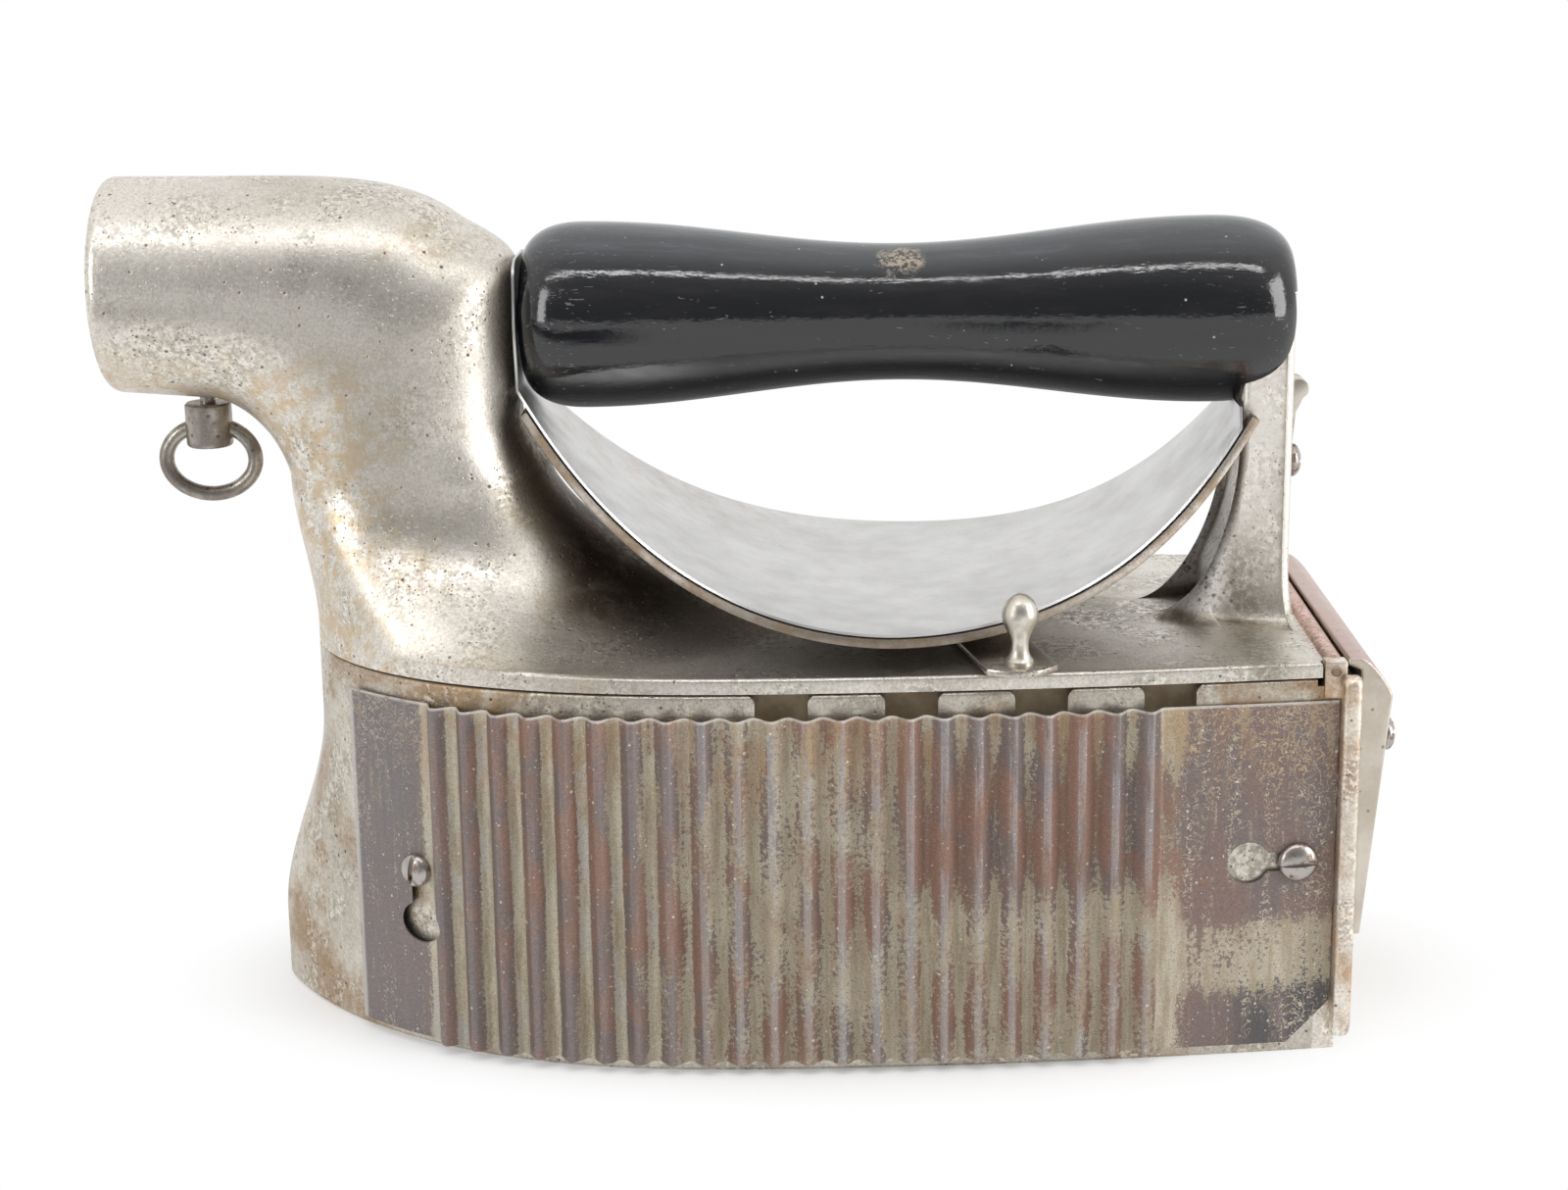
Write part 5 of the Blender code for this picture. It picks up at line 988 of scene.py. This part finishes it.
carve(lid, [post, pad, bridge, knuckle], "UNION")
bore_half = knuckle_half + 1 * MM
carve(lid, [rod("hinge_bore", PIN_RADIUS + GAP, (-bore_half, bore_half), on_hinge)])


def vent_tools():
    """Three upright cylinders in a ring round the lever's pivot."""
    turn = np.radians(LEVER_ANGLE - 90 + 60 + 120 * np.arange(3))
    return [rod("vent", VENT_RADIUS, (60 * MM, 90 * MM), Matrix.Translation((x, y, 0)))
            for x, y in zip(PIVOT_X + VENT_REACH * np.cos(turn), VENT_REACH * np.sin(turn))]


carve(lid, vent_tools())
lid_look, shader, metal = nickelled_iron("lid_nickel", (0, 0, 0), (0.79, 0.745, 0.675), (0.62, 0.58, 0.51),
                                         (0.56, 0.475, 0.36), 0.24, 0.5, 0.37, (1, 0.74, 0.72))
place, axis = where(shader), axes(shader)
along, up = axis["X"], axis["Z"]
golden = product(ramp(up, 0.136, 0.12), ramp(along, -0.06, -0.085),
                 ramp(grain(place, 4, 7, 0.75), 0.44, 0.58), 0.75)
metal = blend(golden, metal, (0.60, 0.46, 0.29))
# Painted shade: the lid's top under the heat shield is darkened to near black-brown, with light specks left in it.
painted_shade_under_shield = product(ramp(along, -0.05, -0.037), ramp(along, 0.03, -0.004), ramp(up, 0.0762, 0.083),
                   ramp(grain(place, 6, 5, 0.7), 0.25, 0.55, 0.5, 0.92))
metal = blend(painted_shade_under_shield, metal, (0.12, 0.092, 0.066))
metal = blend(product(painted_shade_under_shield, spots(place, 1.1, 0.16, 0.35)), metal, (0.8, 0.76, 0.68))
at_root = product(ramp(along, 0.066, 0.072), ramp(up, 0.0765, 0.079))
# The root face is grey rough cast and less metallic; its colour is also lightened as painted light, against the
# shade it sits in under the heat shield.
root_face = product(at_root, ramp(along, 0.0884, 0.0835))
metal = blend(product(root_face, 0.7), metal, (0.8, 0.79, 0.77))
rough_root = product(at_root, ramp(along, 0.0872, 0.0868), spots(place, 1.7, 0.42, 0.55), 0.85)
metal = blend(rough_root, metal, (0.11, 0.095, 0.08))
# Painted light: the post above its root is lightened towards warm white.
painted_light_on_post = product(ramp(along, 0.0868, 0.0876), ramp(up, 0.078, 0.083))
metal = blend(product(painted_light_on_post, 0.6), metal, (1.0, 0.96, 0.89))
pitted_root = product(root_face, ramp(grain(place, 1.3, 5, 0.8), 0.5, 0.6), 0.75)
metal = blend(pitted_root, metal, (0.26, 0.24, 0.21))
sooty_root = product(ramp(along, 0.083, 0.087), ramp(along, 0.0955, 0.0885), ramp(up, 0.1, 0.082),
                     ramp(grain(place, 1.5, 6, 0.8), 0.38, 0.56), 0.75)
metal = blend(sooty_root, metal, (0.3, 0.255, 0.2))
feed(shader, Base_Color=metal, Metallic=ramp(root_face, 0, 1, 1, 0.25))
coat(lid, lid_look, soot_look)
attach(lid, "lid")
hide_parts("lid_casting")

# ---- air lever --------------------------------------------------------------
# A flat plated lever under its pivot screw, with three holes that uncover the lid's vents, and an
# acorn knob riveted near its end. The knob is the brightest metal on the iron.
LEVER_LOW_Z = 76.6 * MM
LEVER_THICK = 1.2 * MM
LEVER_DISC = 14 * MM
LEVER_HALF = 6.6 * MM
LEVER_REACH = 57 * MM
LEVER_CLIP = 3.2 * MM
KNOB_REACH = 52 * MM
KNOB_HEIGHT = 12.8 * MM
KNOB_RADIUS = 3.3 * MM
KNOB_NECK = 1.6 * MM
KNOB_FOOT = 2.5 * MM
PIVOT_HEAD = 3.6 * MM
PIVOT_HEIGHT = 1.5 * MM
lever_place = (Matrix.Translation((PIVOT_X, 0, LEVER_LOW_Z))
               @ Matrix.Rotation(math.radians(LEVER_ANGLE - 90), 4, "Z"))
hip = math.degrees(math.asin(LEVER_HALF / LEVER_DISC))
tip = [(LEVER_REACH, LEVER_HALF / 4), (LEVER_REACH - 0.5 * MM, LEVER_HALF / 2),
       (LEVER_REACH - LEVER_CLIP, LEVER_HALF)]
tip = [(x, -y) for x, y in tip[::-1]] + tip
lever = slab("lever_plate", arc((0, 0), LEVER_DISC, hip, 360 - hip, 60) + tip, 0, LEVER_THICK, 2)
soften(lever, 0.25 * MM)
lever.data.transform(lever_place)
carve(lever, vent_tools())
lever_look = nickelled_iron("lever_nickel", (9, 9, 9), (0.66, 0.62, 0.55), (0.5, 0.46, 0.4), (0.42, 0.33, 0.23),
                            0.3, 0.3, 0.26)[0]
coat(lever, lever_look)
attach(lever, "lever")
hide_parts("air_lever")

waist_z = 0.28 * KNOB_HEIGHT
egg_z = mix(waist_z, KNOB_HEIGHT, 0.55)
t = np.linspace(0, 1, 14)
top = np.column_stack((KNOB_RADIUS * np.sin(t * np.pi / 2), egg_z + (KNOB_HEIGHT - egg_z) * np.cos(t * np.pi / 2)))
belly = np.column_stack((mix(KNOB_RADIUS, KNOB_NECK, ease(t)), mix(egg_z, waist_z, t)))[1:]
stem = np.column_stack((mix(KNOB_NECK, KNOB_FOOT, t ** 3), mix(waist_z, 0.5 * MM, t)))[1:]
foot = [(KNOB_FOOT, 0.3 * MM), (KNOB_FOOT, -SEAT_SINK), (0, -SEAT_SINK)]
knob_base = lever_place @ Vector((KNOB_REACH, 0, LEVER_THICK + GAP))
knob = lathe("acorn_knob", np.concatenate((top, belly, stem, foot)), Matrix.Translation(knob_base), 56)
knob_look = cloudy("bright_nickel", 1.0, 0.36, (4, 5, 0.6), (0.4, 0.65), ((0.74, 0.71, 0.64), (0.56, 0.51, 0.43)),
                   (0.3, 0.44), ((1, 5, 0.6), 0.06, 0.3))[0]
coat(knob, knob_look)
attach(knob, "lever")
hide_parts("lever_knob")

pivot_seat = Vector((PIVOT_X, 0, LEVER_LOW_Z + LEVER_THICK + GAP))
pivot = round_screw("pivot_dome", pivot_seat, (0, 0, 1), PIVOT_HEAD, PIVOT_HEIGHT, (1, 0.3, 0), 0.8 * MM)
coat(pivot, screw_look("pivot_steel", (1, 2, 3)), slot_look)
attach(pivot, "lid")
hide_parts("lever_pivot_screw")

# ---- damper -----------------------------------------------------------------
# A steel key hangs under the barrel: a round stub on the damper's spindle, with an oval ring through
# its foot to turn it by. The flap sits inside the barrel and is black with soot.
DAMPER_X = -111.6 * MM
STUB_RADIUS = 4.5 * MM
STUB_TOP_Z = 117.8 * MM
STUB_LENGTH = 8.6 * MM
STUB_ROUND = 0.8 * MM
SPINDLE_RADIUS = 1.5 * MM
SPINDLE_TOP_Z = 135 * MM
RING_HALF_LENGTH = 8.7 * MM
RING_HALF_HEIGHT = 6.9 * MM
RING_WIRE = 1.45 * MM
RING_Z = 106.6 * MM
RING_STEPS = 112
WIRE_STEPS = 28
stub_low = STUB_TOP_Z - STUB_LENGTH
t = np.linspace(0, np.pi / 2, 6)
foot = np.column_stack((STUB_RADIUS - STUB_ROUND * (1 - np.cos(t)), stub_low + STUB_ROUND * (1 - np.sin(t))))
shoulder = [(0, SPINDLE_TOP_Z), (SPINDLE_RADIUS, SPINDLE_TOP_Z), (SPINDLE_RADIUS, STUB_TOP_Z),
            (STUB_RADIUS - 0.4 * MM, STUB_TOP_Z), (STUB_RADIUS, STUB_TOP_Z - 0.4 * MM)]
stub = lathe("damper_key_steel", np.concatenate((shoulder, foot, [(0, stub_low)])),
             Matrix.Translation((DAMPER_X, 0, 0)))
ring_turn = 2 * np.pi * np.arange(RING_STEPS)[:, None] / RING_STEPS
wire_turn = 2 * np.pi * np.arange(WIRE_STEPS) / WIRE_STEPS
normal = np.stack((RING_HALF_HEIGHT * np.cos(ring_turn), RING_HALF_LENGTH * np.sin(ring_turn)), axis=-1)
normal = normal / np.linalg.norm(normal, axis=-1, keepdims=True)
reach = RING_WIRE * np.cos(wire_turn)
ring_points = np.stack((DAMPER_X + RING_HALF_LENGTH * np.cos(ring_turn) + normal[..., 0] * reach,
                        np.broadcast_to(RING_WIRE * np.sin(wire_turn), (RING_STEPS, WIRE_STEPS)),
                        RING_Z + RING_HALF_HEIGHT * np.sin(ring_turn) + normal[..., 1] * reach), axis=-1)
ring = skin("damper_ring", ring_points, endless=True)
carve(stub, [ring], "UNION")
key_look, shader, metal, place = cloudy("handled_steel", 1.0, 0.34, (5, 6, 0.65), (0.4, 0.62),
                                        ((0.25, 0.22, 0.195), (0.42, 0.385, 0.34)),
                                        (0.4, 0.26), ((1.3, 5, 0.7), 0.15, 0.5))
feed(shader, Base_Color=blend(product(spots(place, 1.6, 0.4, 0.5), 0.7), metal, (0.09, 0.06, 0.045)))
coat(stub, key_look)
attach(stub, "damper")
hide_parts("damper_key")
coat(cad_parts["damper_flap"], soot_look)

# ---- handle -----------------------------------------------------------------
# A hand grip turned from hardwood, waisted in the middle, lacquered black. A steel rod runs through
# it from the chimney to the post. The lacquer is scratched and chipped, and worn through on top.
HANDLE_Z = 134.2 * MM
HANDLE_FRONT_X = -49.6 * MM
HANDLE_REAR_X = 97.3 * MM
HANDLE_BULGE = 17.8 * MM
HANDLE_WAIST = 13.05 * MM
BULGE_FRONT_X = -37 * MM
BULGE_REAR_X = 81.5 * MM
HANDLE_FACE = 10 * MM
end = np.linspace(0, np.pi / 2, 16)
stations = np.concatenate((mix(HANDLE_FRONT_X, BULGE_FRONT_X, 1 - np.cos(end))[:-1],
                           np.linspace(BULGE_FRONT_X, BULGE_REAR_X, 60),
                           mix(BULGE_REAR_X, HANDLE_REAR_X, np.sin(end))[1:]))


def grip_radius(x):
    """Radius of the grip: a cosine between the two bulges, and past each a superellipse down to a
    flat end face."""
    swell = (HANDLE_BULGE + HANDLE_WAIST) / 2 + (HANDLE_BULGE - HANDLE_WAIST) / 2 * np.cos(
        2 * np.pi * (x - BULGE_FRONT_X) / (BULGE_REAR_X - BULGE_FRONT_X))
    t = np.maximum((BULGE_FRONT_X - x) / (BULGE_FRONT_X - HANDLE_FRONT_X),
                   (x - BULGE_REAR_X) / (HANDLE_REAR_X - BULGE_REAR_X))
    ends = HANDLE_FACE + (HANDLE_BULGE - HANDLE_FACE) * np.sqrt(1 - np.clip(t, 0, 1) ** 2.6)
    return np.where(t > 0, ends, swell)


lengthwise = Matrix.Translation((0, 0, HANDLE_Z)) @ Matrix.Rotation(math.radians(90), 4, "Y")
profile = np.concatenate(([(0, HANDLE_FRONT_X)], np.column_stack((grip_radius(stations), stations)),
                          [(0, HANDLE_REAR_X)]))
grip = lathe("grip", profile, lengthwise, 96)
carve(grip, [block("post_slot", (POST_FRONT_X - GAP, -POST_HALF - GAP, HANDLE_Z - 1.5 * HANDLE_BULGE),
                   (PAST_HEEL_X, POST_HALF + GAP, POST_TOP_Z + GAP))])
WORN_SPOT = (0.0228, -0.0075, 0.1462)
grip_look, shader = new_look("black_lacquer", 0.0, 0.14, IOR=1.68)
place = where(shader)
spot = put(shader, "VectorMath", {0: put(shader, "TexCoord").outputs["Object"], 1: WORN_SPOT},
           operation="DISTANCE").outputs["Value"]
rubbed = ramp(total(product(grain(place, 2.2, 6, 0.75), 0.008), spot), 0.0095, 0.006)
rubbed = product(rubbed, ramp(grain(place, 1.3, 4, 0.7), 0.44, 0.52))
axis = axes(shader)
handled = total(ramp(axis["X"], -0.028, -0.04), ramp(axis["X"], 0.075, 0.09, 0, 0.6))
scratches = total(grain(where(shader, (0.25, 1.4, 1.4)), 1.1, 2, 0.5, 2.0), product(handled, 0.055))
scratches = ramp(scratches, 0.72, 0.745)
chips = most(spots(place, 4.5, 0.26, 0.5), spots(place, 14, 0.7, 0.3))
dusty = ramp(grain(where(shader, (0.12, 1, 1)), 3.5, 6, 0.7), 0.42, 0.72)
facing = upward(shader)
matt = ramp(facing, -0.5, -0.78)
black = blend(product(dusty, 0.6), (0.004, 0.0045, 0.006), (0.012, 0.012, 0.014))
hazy = product(ramp(facing, 0.62, 0.85), ramp(dusty, 0, 1, 0.55, 1))
black = blend(hazy, black, (0.058, 0.066, 0.074))
black = blend(product(rubbed, 0.85), black, (0.42, 0.34, 0.24))
black = blend(product(scratches, 0.5), black, (0.2, 0.2, 0.2))
black = blend(product(chips, 0.8), black, (0.42, 0.40, 0.36))
flaws = most(rubbed, chips)
feed(shader, Base_Color=black, Specular_IOR_Level=ramp(matt, 0, 1, 0.5, 0.12),
     Roughness=total(ramp(dusty, 0, 1, 0.06, 0.15), product(matt, 0.3), product(flaws, 0.4)))
ripple = relief(shader, grain(where(shader, (0.4, 1, 1)), 4, 4, 0.6), 0.35, 0.35)
dents = reckon("SUBTRACT", product(grain(place, 0.8, 4, 0.7), 0.25), most(flaws, scratches))
relief(shader, dents, 0.12, 0.5, ripple)
coat(grip, grip_look)
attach(grip, "lid")
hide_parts("handle_grip")

rod_look = cloudy("rod_steel", 1.0, 0.42, (4, 5), (0.4, 0.6), ((0.4, 0.38, 0.35), (0.27, 0.23, 0.2)))[0]
coat(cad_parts["handle_rod"], rod_look)

# ---- heat shield ------------------------------------------------------------
# Two bent sheets keep the heat off the hand: a thick browned outer one, and a thin polished liner
# whose front end turns up behind the grip. Both are widest low down and narrow towards their ends.
SHIELD_X = 22 * MM
SHIELD_LOW_Z = 80 * MM
SHIELD_FRONT = (-72.7 * MM, 38.2 * MM, 0.72)
SHIELD_REAR = (68 * MM, 35.2 * MM, 0.58)
SHIELD_REAR_X = 90 * MM
OUTER_THICK = 1.7 * MM
LINER_THICK = 0.5 * MM
SHIELD_WIDE_X = 18 * MM
SHIELD_HALF = 48.4 * MM
SHIELD_FRONT_HALF = 12.6 * MM
SHIELD_REAR_HALF = 16 * MM
LINER_INSET = 0.6 * MM
TAB_HALF = 13 * MM
TURN_UP = 4 * MM
TAB_OUTLINE = [(146, 7), (145.7, 9), (144.8, 10.8), (143, 11.8)]


def shield_stations(x, lift):
    """Points and half widths of the shield at stations x. Its height is a parabola mixed with a fourth
    power of the distance from the lowest station, and the point is lifted square off that line. The half
    width falls off as a power of the distance from the widest station."""
    run, rise, bow = [np.where(x < SHIELD_X, front, rear) for front, rear in zip(SHIELD_FRONT, SHIELD_REAR)]
    t = (x - SHIELD_X) / run
    slope = rise * (2 * bow * t + 4 * (1 - bow) * t ** 3) / run
    scale = lift / np.hypot(1, slope)
    z = SHIELD_LOW_Z + rise * (bow * t ** 2 + (1 - bow) * t ** 4)
    rear = np.clip((x - SHIELD_WIDE_X) / (SHIELD_REAR_X - SHIELD_WIDE_X), 0, None)
    front = np.clip((SHIELD_WIDE_X - x) / (SHIELD_WIDE_X - COLUMN_REAR_X), 0, None)
    half = (SHIELD_HALF - (SHIELD_HALF - SHIELD_REAR_HALF) * rear ** 1.7
            - (SHIELD_HALF - SHIELD_FRONT_HALF) * front ** 2)
    return np.column_stack((x - slope * scale, z + scale, half))


def shield_at(wanted, lift):
    """Stations whose lifted points have the wanted x, found by repeated correction."""
    x = wanted.copy()
    for _ in range(25):
        x += wanted - shield_stations(x, lift)[:, 0]
    return shield_stations(x, lift)


def ribbon(name, lower, upper):
    """Sheet straight across: each ring joins the two ends of a lower and of an upper station."""
    xa, za, ha = lower.T
    xb, zb, hb = upper.T
    corners = (xa, -ha, za), (xa, ha, za), (xb, hb, zb), (xb, -hb, zb)
    return skin(name, np.stack([np.stack(corner, axis=-1) for corner in corners], axis=1))


face_x = COLUMN_REAR_X + GAP
stations = np.linspace(face_x + 0.8 * MM, SHIELD_REAR_X, 110)
outer_sheet = ribbon("shield_band", shield_stations(stations, 0), shield_stations(stations, OUTER_THICK))
soften(outer_sheet, 0.3 * MM)
carve(outer_sheet, [block("post_gap", (POST_FRONT_X - GAP, -POST_HALF - GAP, LID_TOP_Z + 3.2 * MM),
                          (PAST_HEEL_X, POST_HALF + GAP, HANDLE_Z))])
band_look, shader, band, place = cloudy("browned_sheet", 1.0, 0.45, (13, 6, 0.65), (0.38, 0.62),
                                        ((0.34, 0.31, 0.275), (0.28, 0.215, 0.15)),
                                        (0.38, 0.52), ((0.7, 5, 0.75), 0.12, 0.5), (7, 3, 1))
band = blend(ramp(grain(place, 0.9, 4, 0.7), 0.45, 0.7, 0, 0.5), band, (0.2, 0.15, 0.11))
# Painted shade: the band's downward-facing side is darkened, so the lid below mirrors it dark.
feed(shader, Base_Color=blend(ramp(upward(shader), -0.25, -0.45), band, (0.2, 0.165, 0.13)))
coat(outer_sheet, band_look)
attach(outer_sheet, "lid")
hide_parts("heat_shield_outer")

low, high = OUTER_THICK + GAP, OUTER_THICK + GAP + LINER_THICK
xs = np.linspace(face_x, POST_FRONT_X - 0.6 * MM, 120)
lower, upper = shield_at(xs, low), shield_at(xs, high)
upper[0] = shield_at(np.array([face_x + LINER_THICK]), high)[0]
lower[:, 2] -= LINER_INSET
upper[:, 2] -= LINER_INSET
lower = np.vstack((lower, lower[-1] + [0, TURN_UP, -1 * MM]))
upper = np.vstack((upper[:-1], lower[-2] + [-LINER_THICK, LINER_THICK, 0], lower[-1] - [LINER_THICK, 0, 0]))
bend = np.linspace(0, 1, 8)[:-1]
below = np.column_stack((mix(HANDLE_Z, lower[0, 1], bend), mix(TAB_HALF, lower[0, 2], ease(bend))))
tab = np.concatenate((np.array(TAB_OUTLINE) * MM, below))
front_low = np.column_stack((np.full(len(tab), face_x), tab))
front_high = front_low + np.array([LINER_THICK, 0, 0])
liner = ribbon("shield_liner", np.concatenate((front_low, lower)), np.concatenate((front_high, upper)))
liner_look, shader, sheen, place = cloudy("polished_sheet", 1.0, 0.3, (20, 5, 0.6), (0.35, 0.65),
                                          ((0.67, 0.67, 0.66), (0.585, 0.585, 0.58)), shift=(2, 8, 0))
axis = axes(shader)
farther = product(ramp(axis["X"], 0.03, -0.04), ramp(axis["Y"], -0.01, 0.035))
pink = product(ramp(grain(place, 3.0, 7, 0.75), 0.45, 0.62), total(farther, 0.3))
sheen = blend(product(pink, 0.6), sheen, (0.56, 0.46, 0.40))
sheen = blend(product(spots(place, 3.0, 0.25, 0.35), 0.5), sheen, (0.3, 0.27, 0.25))
feed(shader, Base_Color=sheen, Roughness=ramp(grain(place, 7, 5), 0.3, 0.7, 0.3, 0.42))
relief(shader, grain(where(shader, (0.3, 1, 0.3)), 1.2, 6, 0.75), 0.06, 0.6)
coat(liner, liner_look)
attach(liner, "lid")
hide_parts("heat_shield_liner")

# ---- strip behind the post --------------------------------------------------
# A springy steel strip screwed to the back of the post. Its upper end is rolled into a bead.
STRIP_X = 97.3 * MM
STRIP_THICK = 0.9 * MM
STRIP_HALF = 3.6 * MM
STRIP_LOW_Z = 100.2 * MM
STRIP_SCREW_Z = 104.5 * MM
STRIP_BEND_Z = 108.7 * MM
BEAD_RADIUS = 1.9 * MM
BEAD_Z = 119 * MM
bead_x = STRIP_X + BEAD_RADIUS
strip_back = STRIP_X + STRIP_THICK
outline = ([(STRIP_X, STRIP_LOW_Z), (STRIP_X, BEAD_Z - BEAD_RADIUS)]
           + arc((bead_x, BEAD_Z), BEAD_RADIUS, 180, -63, 24)
           + [(strip_back + 0.5 * MM, BEAD_Z - 2.4 * BEAD_RADIUS), (strip_back, STRIP_BEND_Z),
              (strip_back, STRIP_LOW_Z)])
strip = soften(slab("strip_steel_piece", outline, -STRIP_HALF, STRIP_HALF, 1), 0.25 * MM)
strip_look = cloudy("strip_plate", 1.0, 0.36, (5, 5, 0.6), (0.4, 0.62), ((0.66, 0.62, 0.55), (0.48, 0.42, 0.34)),
                    (0.32, 0.48))[0]
coat(strip, strip_look)
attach(strip, "lid")
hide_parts("post_strip")
strip_seat = Vector((strip_back + GAP, 0, STRIP_SCREW_Z))
strip_screw = round_screw("strip_dome", strip_seat, (1, 0, 0), SCREW_HEAD, SCREW_HEIGHT, (0, 1, 0.1))
coat(strip_screw, screw_look("strip_screw_steel", (6, 6, 1)), slot_look)
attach(strip_screw, "lid")
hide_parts("post_strip_screw")

# ---- floor, light and camera ------------------------------------------------
# A white table in a soft tent: a long narrow lamp above and a soft box at each side. The tent's front is
# dark, which the handle mirrors. The camera looks from about 14 degrees above the level, square to the
# iron's near side.
TABLE_HALF = 6
TABLE_CORNERS = [(x * TABLE_HALF, y * TABLE_HALF, 0) for x, y in ((-1, -1), (1, -1), (1, 1), (-1, 1))]
floor_mesh = bpy.data.meshes.new("table")
floor_mesh.from_pydata(TABLE_CORNERS, [], [(0, 1, 2, 3)])
floor = bpy.data.objects.new("table", floor_mesh)
bpy.context.scene.collection.objects.link(floor)
floor_look, shader = new_look("white_table", 0.0, 0.9)
shader.inputs["Base Color"].default_value = (0.97, 0.97, 0.97, 1)
beside = mapped(put(shader, "TexCoord").outputs["Object"], (8.6, 17, 1), (-0.086, 0, 0))
away = put(shader, "VectorMath", {0: beside}, operation="LENGTH").outputs["Value"]
rays = put(shader, "LightPath").outputs
shown = most(rays["Is Camera Ray"], rays["Is Glossy Ray"], rays["Is Transmission Ray"])
axis = axes(shader)
dim = product(ramp(axis["Y"], -0.2, -0.34), ramp(axis["Y"], -0.85, -0.55), ramp(axis["X"], 0.02, -0.06, 0, 0.85))
glow = put(shader, "Emission", {"Strength": reckon("SUBTRACT", 1.0, product(rays["Is Glossy Ray"], dim))})
fading = product(shown, ramp(away, 0.8, 1.2))
faded = put(shader, "MixShader", {0: fading, 1: shader.outputs[0], 2: glow.outputs[0]})
feed(floor_look.node_tree.nodes["Material Output"], Surface=faded.outputs[0])
floor.data.materials.append(floor_look)

world = bpy.data.worlds.new("tent")
bpy.context.scene.world = world
world.use_nodes = True
background = world.node_tree.nodes["Background"]
rays = put(background, "LightPath").outputs
axis = axes(background, "Generated")
ceiling = ramp(axis["Z"], 0.1, 0.9, 0.8, 1.0)
room = product(ceiling, ramp(axis["Y"], -0.95, 0.0, 0.3, 1.0))
seen = between(ramp(axis["Y"], 0.25, 0.6), room, 1.0)
strength = between(most(rays["Is Glossy Ray"], rays["Is Transmission Ray"]), 0.7, seen)
feed(background, Strength=between(rays["Is Camera Ray"], strength, 1.0))
background.inputs["Color"].default_value = (1, 1, 1, 1)


def soft_box(name, place, width, height, power, aim=(-0.01, 0, 0.08)):
    """Soft lamp of a width and a height in metres, aimed at a point."""
    lamp = bpy.data.lights.new(name, "AREA")
    lamp.energy = power
    lamp.shape = "RECTANGLE"
    lamp.size = width
    lamp.size_y = height
    made = bpy.data.objects.new(name, lamp)
    bpy.context.scene.collection.objects.link(made)
    made.location = place
    made.rotation_euler = (Vector(aim) - Vector(place)).to_track_quat("-Z", "Y").to_euler()


soft_box("overhead_strip", (0, -0.5, 1.02), 1.6, 0.05, 2.9)
soft_box("left_box", (-0.95, -0.75, 0.45), 0.3, 0.8, 3.5)
soft_box("right_box", (1.1, -0.45, 0.4), 0.5, 0.8, 6.5)

CAMERA_PLACE = (0.009198, -0.53395, 0.21072)
CAMERA_TURN, CAMERA_DOWN, CAMERA_ROLL = [math.radians(angle) for angle in (1.0, 13.93, -0.7)]
camera = bpy.data.cameras.new("camera")
camera.sensor_width = 36
camera.lens = 64.125
camera_object = bpy.data.objects.new("camera", camera)
bpy.context.scene.collection.objects.link(camera_object)
tilt = Matrix.Rotation(CAMERA_TURN, 4, "Z") @ Matrix.Rotation(math.pi / 2 - CAMERA_DOWN, 4, "X")
camera_object.matrix_world = Matrix.Translation(CAMERA_PLACE) @ tilt @ Matrix.Rotation(CAMERA_ROLL, 4, "Z")
bpy.context.scene.camera = camera_object
bpy.context.scene.view_settings.view_transform = "Standard"
